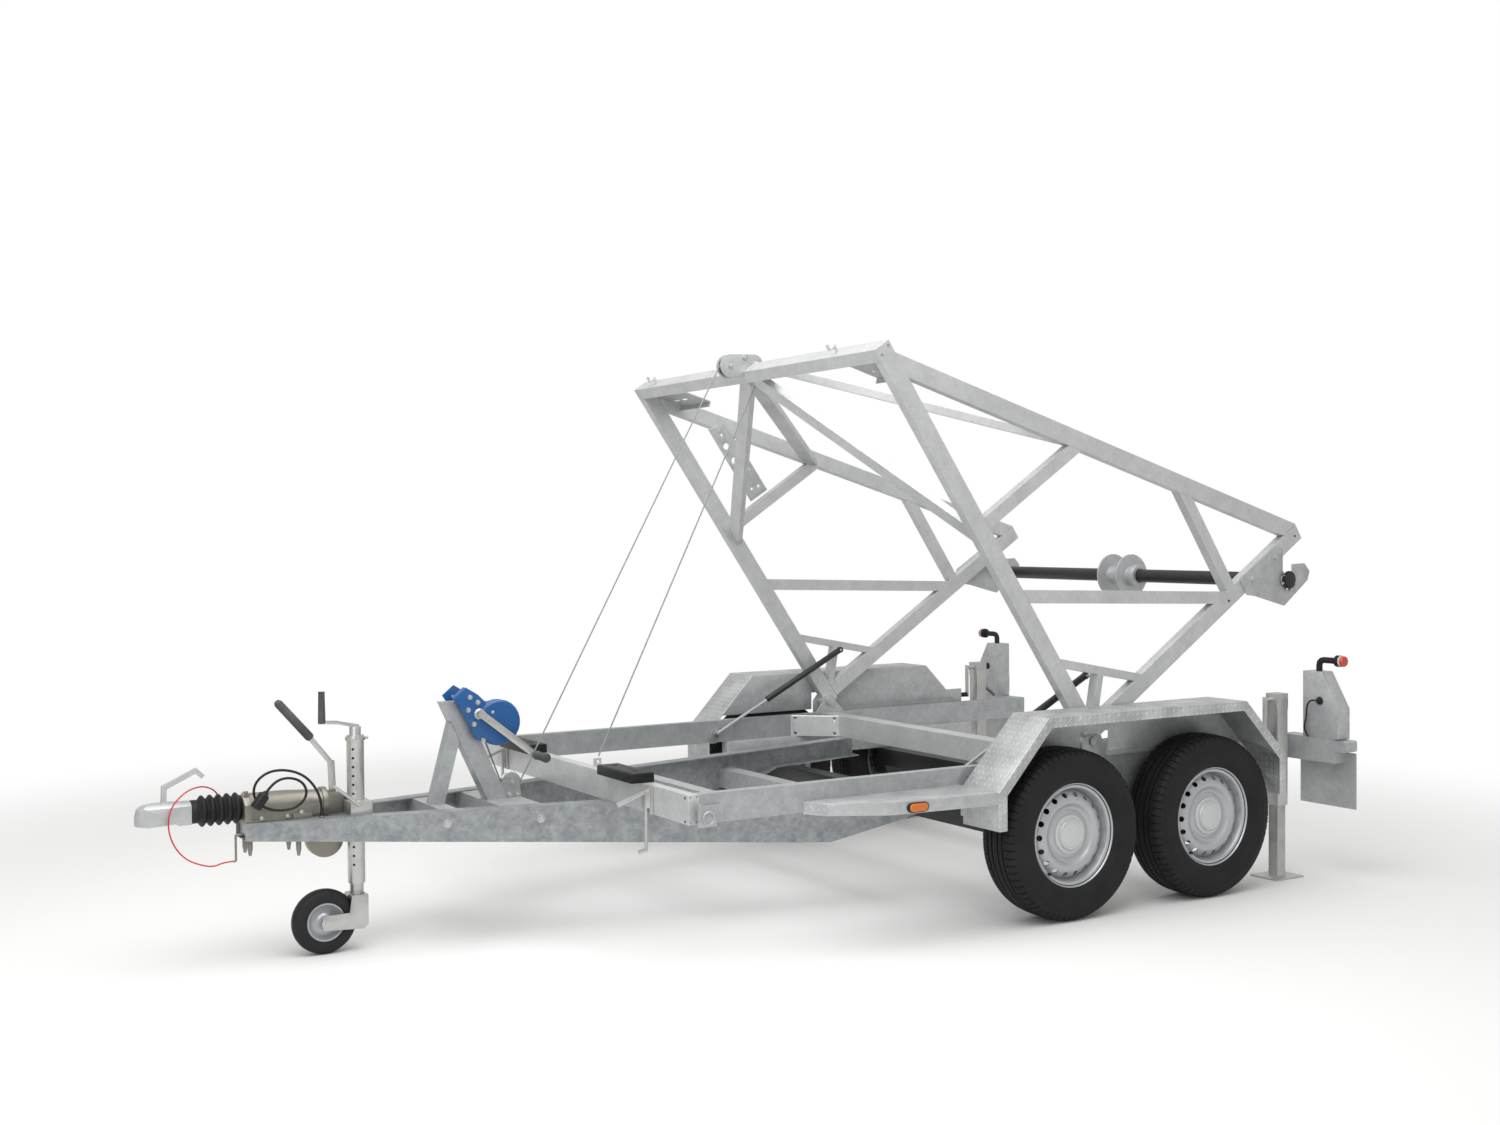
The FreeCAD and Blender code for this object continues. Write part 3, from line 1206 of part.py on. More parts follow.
def make_handbrake():
    """Lever that rises behind the housing, bends forward and ends in a long grip."""
    pivot = (DRAWBAR_FRONT_X + 319, COUPLING_Z + 36)
    bend = moved(pivot, -4, 100)
    grip = moved(bend, -70, 90)
    tip = moved(grip, -118, 136)
    y = 8
    start = Vector(grip[0], y, grip[1])
    end = Vector(tip[0], y, tip[1])
    length = end.sub(start).Length
    lever = fuse([
        bar(pivot, bend, 24, y - 4, y + 4, 8),
        bar(bend, moved(grip, -12, 14), 18, y - 4, y + 4, 6),
        faceted(start, end.sub(start).normalize(), [(0, 13), (8, 16), (length - 10, 15), (length, 9)], 12),
    ])
    return largest(lever.cut(overrun_body()))


# Cords

def cord(route, radius):
    """Tube along straight runs joined by tangent arcs; prints its length and tightest bend."""
    points = [Vector(*point) for point in route]
    edges = []
    bends = []
    last = points[0]
    for before, corner, after in zip(points, points[1:], points[2:]):
        back = before.sub(corner)
        forth = after.sub(corner)
        half_turn = (math.pi - back.getAngle(forth)) / 2
        reach = 0.45 * min(back.Length, forth.Length)
        bend = reach / math.tan(half_turn)
        back.normalize()
        forth.normalize()
        inward = back.add(forth).normalize()
        start = corner.add(back * reach)
        end = corner.add(forth * reach)
        middle = corner.add(inward * (bend / math.cos(half_turn) - bend))
        edges.append(Part.makeLine(last, start))
        edges.append(Part.Arc(start, middle, end).toShape())
        bends.append(bend)
        last = end
    edges.append(Part.makeLine(last, points[-1]))
    spine = Part.Wire(edges)
    way = points[1].sub(points[0]).normalize()
    profile = Part.makePolygon(ring(points[0], way, radius, 8))
    tube = spine.makePipeShell([profile], True, False)
    section = Part.Face(profile).Area
    print(f"cord: {spine.Length:.0f} mm long, tightest bend {min(bends):.1f} mm, "
          f"volume {tube.Volume / (section * spine.Length):.3f} of its length times its section")
    return tube


def make_cords():
    """Electric cable looped beside the housing with its plug, and the breakaway cable."""
    save("trailer_cable", [cord(CABLE_ROUTE, CABLE_R)])
    save("breakaway_cable", [cord(BREAKAWAY_ROUTE, BREAKAWAY_R)])
    end = Vector(*CABLE_ROUTE[-1])
    way = end.sub(Vector(*CABLE_ROUTE[-2])).normalize()
    plug = faceted(end, way, [(0, CABLE_R + 3), (10, PLUG_R - 6), (14, PLUG_R), (PLUG_LENGTH - 4, PLUG_R),
                              (PLUG_LENGTH, PLUG_R - 3)], 12)
    save("cable_plug", [plug])


# Jockey wheel

def make_jockey_leg():
    """Outer sleeve with its collar, crank and the clamp that holds it to the drawbar."""
    x = JOCKEY_X
    y = JOCKEY_Y
    base = Vector(x, y, JOCKEY_SLEEVE_LOW)
    top = Vector(x, y, JOCKEY_SLEEVE_TOP)
    bore = rod(Vector(x, y, JOCKEY_SLEEVE_LOW - 1), Vector(x, y, JOCKEY_SLEEVE_TOP - 30),
               JOCKEY_TUBE_R + RUNNING_FIT)
    sleeve = rod(base, top, JOCKEY_SLEEVE_R).cut(bore)
    collar = flat_rod(Vector(x, y, JOCKEY_SLEEVE_TOP - 17), Vector(x, y, JOCKEY_SLEEVE_TOP - 6),
                      JOCKEY_SLEEVE_R + 5, 16)
    collar = collar.cut(rod(base, top, JOCKEY_SLEEVE_R - 1))
    pin = flat_rod(Vector(x + JOCKEY_SLEEVE_R, y, JOCKEY_SLEEVE_TOP - 11),
                   Vector(x + JOCKEY_SLEEVE_R + 16, y, JOCKEY_SLEEVE_TOP - 11), 5, 8)
    cap_top = JOCKEY_SLEEVE_TOP + 30
    cap = flat_rod(top, Vector(x, y, cap_top), 20, 16)
    web_y = DRAWBAR_WALL - drawbar_half(x - 37)
    room = rod(base, top, JOCKEY_SLEEVE_R - 1)
    under = box(x - 37, x + 37, web_y, y - 10, RAIL_BOTTOM - 58, RAIL_BOTTOM - 6).cut(room)
    over = box(x - 38, x + 38, y - 66, y + 18, RAIL_BOTTOM, RAIL_BOTTOM + 46).cut(room)
    reach = [(x + 8, cap_top + 2), (x - 64, cap_top + 18), (x - 124, cap_top + 22)]
    arms = [bar(a, b, 12, y - 5, y + 5, 5) for a, b in zip(reach, reach[1:])]
    hand_x = JOCKEY_WHEEL_X
    grip = faceted(Vector(hand_x, y, cap_top + 18), AXIS_Z, [(0, 12), (6, 13), (104, 11), (110, 12)], 12)
    return fuse([sleeve, collar, pin, cap, under, over, grip] + arms)


def make_jockey_wheel():
    x = JOCKEY_X
    y = JOCKEY_Y
    tube = rod(Vector(x, y, JOCKEY_TUBE_LOW), Vector(x, y, JOCKEY_TUBE_TOP), JOCKEY_TUBE_R)
    save("jockey_inner_tube", [tube])

    half = JOCKEY_WHEEL_WIDTH / 2 + JOCKEY_FORK_GAP
    wall = JOCKEY_FORK_WALL
    hub = (JOCKEY_WHEEL_X, JOCKEY_WHEEL_R)
    low = JOCKEY_TUBE_LOW
    rear = x + 28
    outline = [moved(hub, -20, -2), moved(hub, -12, -26), (rear - 14, low - 106), (rear, low - 90),
               (rear, low + 12), (x - 30, low + 12), (x - 38, low - 46), moved(hub, -12, 24)]
    fork = fuse([
        slab_y(outline, y - half - wall, y - half),
        slab_y(outline, y + half, y + half + wall),
        box(rear - wall, rear, y - half, y + half, low - 90, low),
        box(x - 30, rear, y - half, y + half, low, low + 12).cut(tube),
        rod_y(*hub, JOCKEY_AXLE_R, y - half - wall - 8, y + half + wall + 8),
    ])
    save("jockey_fork", [fork])

    origin = Vector(hub[0], y, hub[1])
    half = JOCKEY_WHEEL_WIDTH / 2
    rim_half = half - 6
    flats = JOCKEY_WHEEL_FLATS
    rim = faceted(origin, AXIS_Y, [(-rim_half, JOCKEY_RIM_R), (rim_half, JOCKEY_RIM_R)], flats)
    dish = [(8, JOCKEY_RIM_R - 18), (rim_half + 1, JOCKEY_RIM_R - 8)]
    rim = drilled(rim, [faceted(origin, AXIS_Y, dish, flats),
                        faceted(origin, AXIS_Y * -1, dish, flats)])
    hub_body = faceted(origin, AXIS_Y, [(-half, 20), (-8, 26), (8, 26), (half, 20)], 16)
    rim = fuse([rim, hub_body])
    rim = rim.cut(rod_y(*hub, JOCKEY_AXLE_R + RUNNING_FIT, y - half - 1, y + half + 1))
    save("jockey_rim", [rim])
    tyre = faceted(origin, AXIS_Y, [
        (-rim_half, JOCKEY_RIM_R + 4), (-half, JOCKEY_RIM_R + 16), (-half + 4, JOCKEY_WHEEL_R - 12),
        (-half + 16, JOCKEY_WHEEL_R), (half - 16, JOCKEY_WHEEL_R), (half - 4, JOCKEY_WHEEL_R - 12),
        (half, JOCKEY_RIM_R + 16), (rim_half, JOCKEY_RIM_R + 4)], flats)
    seat = [(-half, JOCKEY_RIM_R + TYRE_BEAD_GAP), (half, JOCKEY_RIM_R + TYRE_BEAD_GAP)]
    save("jockey_tyre", [tyre.cut(faceted(origin, AXIS_Y, seat, flats))])


# Fenders, steps and lamps

def fender_line(inset):
    """Fender's folded line in side view, drawn in by the sheet's thickness."""
    front = FENDER_FRONT_X + inset
    rear = FENDER_REAR_X - inset
    top = FENDER_TOP - inset
    fold = inset * 0.4
    return [
        (front, FENDER_TOP - 393),
        (front, FENDER_TOP - 251 - fold),
        (FENDER_FRONT_X + 236 + fold, top),
        (FENDER_REAR_X - 227 - fold, top),
        (rear, FENDER_TOP - 228 - fold),
        (rear, FENDER_TOP - 394),
    ]


def make_fenders():
    """Folded sheet over both wheels, with an outer skirt, an inner wall and its brackets."""
    outer = fender_line(0)
    sheet = slab_y(outer + fender_line(FENDER_WALL)[::-1], FENDER_IN, FENDER_OUT)
    skirt = slab_y(outer + fender_line(FENDER_SKIRT)[::-1], FENDER_OUT - FENDER_WALL, FENDER_OUT)
    whole = slab_y(outer, FENDER_IN, FENDER_IN + 3)
    wall_low = RAIL_TOP + 12
    side = whole.common(box(FENDER_FRONT_X, FENDER_REAR_X, FENDER_IN, FENDER_OUT, wall_low, FENDER_TOP))
    notch = box(PIVOT_X - 62, PIVOT_X + 82, FENDER_IN - 1, FENDER_IN + 5, wall_low - 10, PIVOT_Z + 38)
    shapes = [sheet, skirt, side.cut(notch)]
    for x in (FENDER_FRONT_X, FENDER_REAR_X - 30):
        shapes.append(box(x, x + 30, RAIL_OUT, FENDER_IN + 6, RAIL_BOTTOM - 10, RAIL_BOTTOM + 30))
    save("fenders", both_sides(fuse(shapes)))


def step_outline(inset):
    """Step's outline in plan, from its rear inner corner round to its front one."""
    rear = FENDER_FRONT_X
    front = rear - STEP_LENGTH
    out = FENDER_OUT - inset
    return [(rear, RAIL_OUT), (rear, out - 1), (rear - 442, out - 44),
            (front + 50 + inset * 0.6, FENDER_OUT - 152 - inset * 0.8), (front + inset * 0.9, RAIL_OUT)]


def make_steps():
    """Tray of tread plate in front of each fender; returns its two side lamps."""
    low = STEP_TOP - STEP_SKIRT
    plate = slab_z(step_outline(0), low, STEP_TOP)
    under = slab_z(step_outline(STEP_WALL), low - 1, STEP_TOP - STEP_WALL)
    save("side_steps", both_sides(plate.cut(under)))
    slope = 43 / 442
    back = 337
    across = Vector(-slope, 1, 0).normalize()
    along = Vector(1, slope, 0).normalize()
    centre = Vector(FENDER_FRONT_X - back, FENDER_OUT - 1 - back * slope, STEP_TOP - 24)
    corners = []
    for number in range(16):
        turn = 2 * math.pi * number / 16
        corners.append(centre + along * (46 * math.cos(turn)) + AXIS_Z * (19 * math.sin(turn)))
    lens = Part.Face(Part.makePolygon(corners + corners[:1])).extrude(across * 14)
    return both_sides(largest(lens.cut(plate)))


def lamp_arm():
    """Rubber arm that stands on the lamp box and turns outwards in an arc."""
    x = (STUB_FRONT_X + STUB_REAR_X) / 2
    y = LAMP_BOX_IN + 55
    start = Vector(x, y, LAMP_BOX_TOP)
    bend = 22
    centre = Vector(x, y + bend, LAMP_BOX_TOP + 25)
    steps = [start, centre.add(Vector(0, -bend, 0))]
    for turn in (30, 60):
        offset = Vector(0, -math.cos(math.radians(turn)), math.sin(math.radians(turn))) * bend
        steps.append(centre.add(offset))
    steps.append(centre.add(Vector(0, 0, bend)))
    end = Vector(x, LAMP_BOX_OUT - 39, LAMP_BOX_TOP + 47)
    steps.append(end)
    rings = []
    for before, here, after in zip([steps[0]] + steps, steps, steps[1:] + [steps[-1]]):
        way = after.sub(before).normalize()
        over = way.cross(AXIS_X).normalize()
        corners = []
        for number in range(12):
            turn = 2 * math.pi * number / 12
            offset = AXIS_X * math.cos(turn) + over * math.sin(turn)
            corners.append(here + offset * LAMP_ARM_R)
        rings.append(Part.makePolygon(corners + corners[:1]))
    arm = Part.makeLoft(rings, True, True)
    if arm.Volume < 0:
        arm.reverse()
    lens = flat_rod(end, end.add(Vector(0, 47, 0)), 24, 20)
    return arm, lens


def make_rear(side_lamps):
    stub = box(STUB_FRONT_X, STUB_REAR_X, RAIL_OUT, STUB_OUT, RAIL_BOTTOM, RAIL_TOP)
    nose_low = RAIL_BOTTOM + 50
    nose_top = nose_low + 47
    nose_out = STUB_OUT + 55
    nose = slab_x([(STUB_OUT, nose_low), (nose_out - 6, nose_low), (nose_out, nose_low + 6),
                   (nose_out, nose_top - 6), (nose_out - 6, nose_top), (STUB_OUT, nose_top)],
                  STUB_FRONT_X, STUB_REAR_X)
    flap = box(STUB_REAR_X, STUB_REAR_X + FLAP_WALL, RAIL_OUT, FLAP_OUT, FLAP_BOTTOM, RAIL_BOTTOM + 42)
    save("rear_stub_beams", both_sides(fuse([stub, nose, flap])))
    outline = [(LAMP_BOX_IN, RAIL_TOP), (LAMP_BOX_OUT, RAIL_TOP), (LAMP_BOX_OUT, LAMP_BOX_TOP - 149),
               (LAMP_BOX_OUT - 86, LAMP_BOX_TOP), (LAMP_BOX_IN, LAMP_BOX_TOP)]
    save("lamp_boxes", both_sides(slab_x(outline, STUB_FRONT_X, STUB_REAR_X)))
    tail = box(STUB_REAR_X, STUB_REAR_X + 22, LAMP_BOX_IN + 15, LAMP_BOX_OUT - 16,
               RAIL_TOP + 14, RAIL_TOP + 116)
    arm, lens = lamp_arm()
    save("lamp_arms", both_sides(arm))
    save("lamps", side_lamps + both_sides(tail) + both_sides(lens))


def make_legs():
    """Square sleeves with a folded crank each, and the legs with foot plates that slide in them."""
    half = LEG_SLEEVE / 2
    tube = LEG_TUBE / 2
    x = LEG_X
    y = LEG_Y
    room = tube + LEG_FIT
    sleeve = box(x - half, x + half, y - half, y + half, LEG_SLEEVE_BOTTOM, LEG_SLEEVE_TOP)
    bore = box(x - room, x + room, y - room, y + room, LEG_SLEEVE_BOTTOM - 1, LEG_SLEEVE_TOP - 40)
    head = box(x - half - 3, x + half + 3, y - half, y + half, LEG_SLEEVE_TOP, LEG_SLEEVE_TOP + 65)
    bracket = box(x - half - 10, x + half + 10, RAIL_OUT, y - half, RAIL_BOTTOM + 8, RAIL_TOP - 8)
    crank_z = LEG_SLEEVE_TOP + 40
    crank_x = x - half - 38
    crank = fuse([
        flat_rod(Vector(crank_x - 2, y, crank_z), Vector(x - half - 3, y, crank_z), 9),
        box(crank_x - 8, crank_x, y - 10, y + 10, crank_z - 150, crank_z + 12),
        flat_rod(Vector(crank_x - 52, y, crank_z - 138), Vector(crank_x - 6, y, crank_z - 138), 12),
    ])
    save("leg_sleeves", both_sides(fuse([sleeve.cut(bore), head, bracket, crank])))
    inner = box(x - tube, x + tube, y - tube, y + tube, 0, LEG_SLEEVE_BOTTOM + LEG_INSIDE)
    foot = box(x - FOOT_LENGTH / 2, x + FOOT_LENGTH / 2, y - FOOT_WIDTH / 2, y + FOOT_WIDTH / 2,
               0, FOOT_WALL)
    leg = fuse([inner, foot])
    save("leg_right", [leg])
    save("leg_left", [other_side(leg)])


def make_latches():
    """Toggle latches on the front cross beam that hold the tilting frame down on the road."""
    face = CROSS_FRONT_X
    y = PAD_IN + PAD_WIDTH + 46
    low = RAIL_BOTTOM + 2
    plate = box(face - 8, face, y - 30, y + 30, low, RAIL_TOP - 4)
    body = box(face - 26, face - 8, y - 16, y + 16, low + 20, low + 80)
    hook_x = face - 16
    hook = flat_rod(Vector(hook_x, y, low - 130), Vector(hook_x, y, low + 40), 6, 8)
    foot = bar((hook_x, low - 126), (hook_x - 26, low - 132), 12, y - 6, y + 6, 3)
    lever = bar((face - 12, low + 80), (face - 120, low + 40), 12, y - 8, y + 8, 8)
    save("toggle_latches", both_sides(fuse([plate, hook, foot, lever, body])))


def main():
    make_drawbar()
    make_rails()
    make_axles()
    make_wheels()
    make_side_frames(frame_members())
    make_top_beam()
    make_stays()
    make_tilt_plates()
    make_hook_plates()
    make_top_pulley()
    make_pivot_brackets()
    make_spindle()
    make_gas_springs()
    make_winch_post()
    make_winch()
    make_ropes()
    make_coupling()
    make_housing()
    save("handbrake_lever", [make_handbrake()])
    make_cords()
    save("jockey_sleeve", [make_jockey_leg()])
    make_jockey_wheel()
    make_fenders()
    side_lamps = make_steps()
    make_rear(side_lamps)
    make_legs()
    make_latches()


main()
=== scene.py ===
import json
import math

import bpy
from bpy.props import FloatProperty, FloatVectorProperty, IntProperty, PointerProperty
from mathutils import Matrix, Vector

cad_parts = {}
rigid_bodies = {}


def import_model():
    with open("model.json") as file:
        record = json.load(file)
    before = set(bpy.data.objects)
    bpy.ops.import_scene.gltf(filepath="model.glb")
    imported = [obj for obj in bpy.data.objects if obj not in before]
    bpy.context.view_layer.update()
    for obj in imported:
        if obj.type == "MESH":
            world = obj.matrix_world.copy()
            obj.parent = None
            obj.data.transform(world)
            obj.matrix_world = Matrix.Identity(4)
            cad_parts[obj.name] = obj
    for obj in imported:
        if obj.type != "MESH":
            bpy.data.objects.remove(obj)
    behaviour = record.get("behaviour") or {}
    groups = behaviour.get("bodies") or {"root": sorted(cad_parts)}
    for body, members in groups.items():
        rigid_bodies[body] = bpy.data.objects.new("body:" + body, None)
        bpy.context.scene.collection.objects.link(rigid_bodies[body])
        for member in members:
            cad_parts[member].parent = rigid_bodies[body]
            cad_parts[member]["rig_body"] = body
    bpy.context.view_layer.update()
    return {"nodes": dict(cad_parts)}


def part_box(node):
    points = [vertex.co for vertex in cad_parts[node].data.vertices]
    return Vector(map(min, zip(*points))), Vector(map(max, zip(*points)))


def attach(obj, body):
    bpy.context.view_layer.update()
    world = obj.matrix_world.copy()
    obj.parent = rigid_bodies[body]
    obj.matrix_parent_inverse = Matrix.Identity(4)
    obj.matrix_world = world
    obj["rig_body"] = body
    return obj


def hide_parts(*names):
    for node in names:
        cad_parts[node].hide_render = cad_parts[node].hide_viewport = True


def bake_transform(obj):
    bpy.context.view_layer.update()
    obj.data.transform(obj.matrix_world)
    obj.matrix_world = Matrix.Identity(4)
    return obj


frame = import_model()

bl_info = {
    "name": "Cable drum trailer",
    "version": (1, 0, 0),
    "blender": (4, 5, 0),
    "location": "View3D > Sidebar > Trailer",
    "description": "Dresses a tandem cable drum trailer: zinc, tread plate, tyres, winch and fittings",
    "category": "Object",
}

NODES = frame["nodes"]
AXLE_X = {"front": 0.804, "rear": 1.530}
AXLE_Z = 0.320
WHEEL_Y = 1.034
SIDES = {"left": -1, "right": 1}
JOCKEY_CENTRE = (-1.686, -0.05, 0.112)
WELD = 0.00002  # points nearer to each other than this are one

# Cord routes, in metres, with the same points as in the part's source
CABLE_ROUTE = [
    (-1.701, -0.092, 0.486), (-1.701, -0.092, 0.530), (-1.718, -0.080, 0.584), (-1.756, -0.068, 0.628),
    (-1.814, -0.062, 0.650), (-1.876, -0.062, 0.648), (-1.922, -0.063, 0.612), (-1.926, -0.068, 0.560),
    (-1.888, -0.074, 0.524), (-1.830, -0.078, 0.512), (-1.776, -0.080, 0.522), (-1.746, -0.082, 0.562),
    (-1.762, -0.086, 0.606), (-1.812, -0.092, 0.628), (-1.864, -0.098, 0.618), (-1.890, -0.102, 0.586),
]
BREAKAWAY_ROUTE = [
    (-1.991, -0.045, 0.352), (-2.021, -0.045, 0.352), (-2.058, -0.054, 0.342), (-2.104, -0.058, 0.355),
    (-2.151, -0.059, 0.380), (-2.188, -0.060, 0.430), (-2.204, -0.060, 0.492), (-2.194, -0.058, 0.550),
    (-2.156, -0.050, 0.592), (-2.111, -0.022, 0.608), (-2.064, 0.020, 0.604), (-2.022, 0.050, 0.580),
    (-1.996, 0.058, 0.530), (-1.953, 0.058, 0.530),
]


def at(x, y, z):
    """A place given in millimetres from the front axle's middle, as in the part's source."""
    return Vector(((x + 804) / 1000, y / 1000, z / 1000))


# The winch rope: its drum's centre, and how far its middle runs from each round's centre, in metres
WINCH_DRUM = at(-1845, 0, 760)
ON_DRUM, ON_LOW_PULLEY, ON_TOP_PULLEY = 0.0496, 0.0344, 0.0364
ROPE_R = 0.003


# Colours and node helpers

def linear(hex_colour):
    """sRGB hex to the linear colour that a shader takes."""
    parts = [int(hex_colour[i : i + 2], 16) / 255 for i in (1, 3, 5)]
    return [c / 12.92 if c <= 0.04045 else ((c + 0.055) / 1.055) ** 2.4 for c in parts] + [1.0]


def add_node(tree, kind, *links, **settings):
    """Adds one shader node. Links are (input, output socket) pairs. Settings are the node's properties, or
    its inputs by number or name when they start with in_."""
    made = tree.nodes.new("ShaderNode" + kind)
    for key, value in settings.items():
        if key.startswith("in_"):
            place = key[3:]
            made.inputs[int(place) if place.isdigit() else place].default_value = value
        else:
            setattr(made, key, value)
    for place, source in links:
        tree.links.new(source, made.inputs[place])
    return made


def calc(tree, operation, *values):
    """The result of one math node; values are numbers or output sockets."""
    links = [(n, v) for n, v in enumerate(values) if not isinstance(v, (int, float))]
    numbers = {f"in_{n}": v for n, v in enumerate(values) if isinstance(v, (int, float))}
    return add_node(tree, "Math", *links, operation=operation, **numbers).outputs[0]


def object_place(tree):
    """The tree's object coordinates, from one node."""
    found = tree.nodes.get("Texture Coordinate") or add_node(tree, "TexCoord")
    return found.outputs["Object"]


def noise(tree, scale, detail=2, **settings):
    """Noise in object coordinates, with its scale per metre."""
    return add_node(tree, "TexNoise", ("Vector", object_place(tree)), in_Scale=scale, in_Detail=detail,
                    **settings).outputs[0]


def new_material(name, base, roughness, metallic=0.0, **sockets):
    """A material with its Principled shader; sockets are other inputs by name."""
    made = bpy.data.materials.new(name)
    made.use_nodes = True
    shader = made.node_tree.nodes["Principled BSDF"]
    sockets.update(Base_Color=linear(base), Roughness=roughness, Metallic=metallic)
    for key, value in sockets.items():
        shader.inputs[key.replace("_", " ")].default_value = value
    return made, made.node_tree, shader


def colour_by(tree, shader, source, *stops):
    """Leads a ramp of (position, hex) stops into the base colour."""
    made = add_node(tree, "ValToRGB", (0, source))
    elements = made.color_ramp.elements
    while len(elements) < len(stops):
        elements.new(0.5)
    for element, (place, colour) in zip(elements, stops):
        element.position = place
        element.color = linear(colour)
    tree.links.new(made.outputs[0], shader.inputs["Base Color"])


def roughness_by(tree, shader, source, low, high):
    """Leads 0 to 1 into a range of roughness."""
    made = add_node(tree, "MapRange", (0, source), in_3=low, in_4=high)
    tree.links.new(made.outputs[0], shader.inputs["Roughness"])


def bump(tree, shader, height, distance, strength=1.0):
    made = add_node(tree, "Bump", ("Height", height), in_Strength=strength, in_Distance=distance)
    tree.links.new(made.outputs[0], shader.inputs["Normal"])


# Finishes

def galvanised_steel(name, pale, dark, crystal_mm, cloud_mm):
    """Hot dip galvanised steel: faint zinc crystals, under cloudy patches and runs left by the bath."""
    made, tree, shader = new_material(name, pale, 0.42, 0.45)
    crystals = add_node(tree, "TexVoronoi", ("Vector", object_place(tree)), in_Scale=1000 / crystal_mm)
    tint = add_node(tree, "SeparateColor", (0, crystals.outputs["Color"])).outputs[0]
    clouds = noise(tree, 1000 / cloud_mm, 6, in_Roughness=0.66, in_Distortion=0.4)
    fine = noise(tree, 140, 3)
    mixed = calc(tree, "MULTIPLY_ADD", fine, 0.12, calc(tree, "MULTIPLY_ADD", tint, 0.16, clouds))
    colour_by(tree, shader, mixed, (0.36, dark), (0.86, pale))
    roughness_by(tree, shader, mixed, 0.50, 0.34)
    bump(tree, shader, fine, 0.0006, 0.35)
    return made


def tread_plate():
    """Galvanised tread plate: raised lens shaped bars, turned by a right angle in every other place.
    The real bars are 22 mm apart; they are drawn 24 mm apart so that they show."""
    made, tree, shader = new_material("galvanised_tread_plate", "#c3c8cb", 0.36, 0.62)
    uv = add_node(tree, "UVMap", uv_map="Plate").outputs[0]
    split = add_node(tree, "SeparateXYZ", (0, uv))
    cells = []
    for axis in (0, 1):
        scaled = calc(tree, "MULTIPLY", split.outputs[axis], 1 / 0.024)
        cells.append((calc(tree, "FLOOR", scaled), calc(tree, "SUBTRACT", calc(tree, "FRACT", scaled), 0.5)))
    (column, x), (row, y) = cells
    odd = calc(tree, "FLOORED_MODULO", calc(tree, "ADD", column, row), 2.0)
    y = calc(tree, "MULTIPLY", y, calc(tree, "MULTIPLY_ADD", odd, -2.0, 1.0))
    squares = []
    for operation, half in (("ADD", 0.66), ("SUBTRACT", 0.17)):
        share = calc(tree, "DIVIDE", calc(tree, operation, x, y), half)
        squares.append(calc(tree, "MULTIPLY", share, share))
    height = add_node(tree, "MapRange", (0, calc(tree, "ADD", *squares)), interpolation_type="SMOOTHSTEP",
                      in_1=1.25, in_2=0.45, in_3=0.0, in_4=1.0).outputs[0]
    # The raised bars are painted lighter than the plate between them, a painted highlight, over a random tone
    # from noise
    bar_highlight_and_tone = calc(tree, "MULTIPLY_ADD", height, 0.3, noise(tree, 11, 5))
    colour_by(tree, shader, bar_highlight_and_tone, (0.32, "#a9acae"), (0.95, "#dcdddd"))
    bump(tree, shader, height, 0.0018)
    return made


def painted(name, colour, roughness, metallic, grain_mm, depth_mm, coat=0.0):
    """Paint over steel: even colour with a faint orange peel."""
    made, tree, shader = new_material(name, colour, roughness, metallic, Coat_Weight=coat)
    peel = noise(tree, 1000 / grain_mm)
    roughness_by(tree, shader, peel, roughness - 0.07, roughness + 0.07)
    bump(tree, shader, peel, depth_mm / 1000, 0.5)
    return made


def rubber(name, colour, worn, roughness):
    """Moulded rubber: dark, matt, with a dusty bloom in patches."""
    made, tree, shader = new_material(name, colour, roughness, Specular_IOR_Level=0.35)
    colour_by(tree, shader, noise(tree, 14, 6), (0.35, colour), (0.8, worn))
    bump(tree, shader, noise(tree, 900), 0.0003, 0.4)
    return made


def lens(name, colour, dark):
    """Moulded acrylic lens over a reflector, ribbed inside every 4 mm."""
    made, tree, shader = new_material(name, colour, 0.12, IOR=1.49, Coat_Weight=0.6)
    ribs = add_node(tree, "TexWave", ("Vector", object_place(tree)), bands_direction="Z", in_Scale=78,
                    in_Distortion=0.0).outputs[0]
    # The darker colour falls in the ribs' grooves: painted shade
    colour_by(tree, shader, ribs, (0.0, dark), (1.0, colour))
    bump(tree, shader, ribs, 0.0008, 0.6)
    return made


def zinc_plated(name):
    """Zinc plated steel with a faint warm passivate, on small fittings."""
    made, tree, shader = new_material(name, "#bfc0bd", 0.34, 0.75)
    film = noise(tree, 24)
    colour_by(tree, shader, film, (0.3, "#b4b5b3"), (0.55, "#bfc0be"), (0.8, "#bebcb4"))
    roughness_by(tree, shader, film, 0.22, 0.4)
    return made


def wire_rope(name):
    """Stranded steel wire, nearly even grey at this size."""
    made, tree, shader = new_material(name, "#8b8e90", 0.7, 0.1)
    strands = add_node(tree, "TexWave", ("Vector", object_place(tree)), bands_direction="DIAGONAL",
                       in_Scale=90)
    # The darker bands between the strands are painted shade in the grooves of the lay
    colour_by(tree, shader, strands.outputs[0], (0.0, "#7f8385"), (0.6, "#95989a"))
    return made


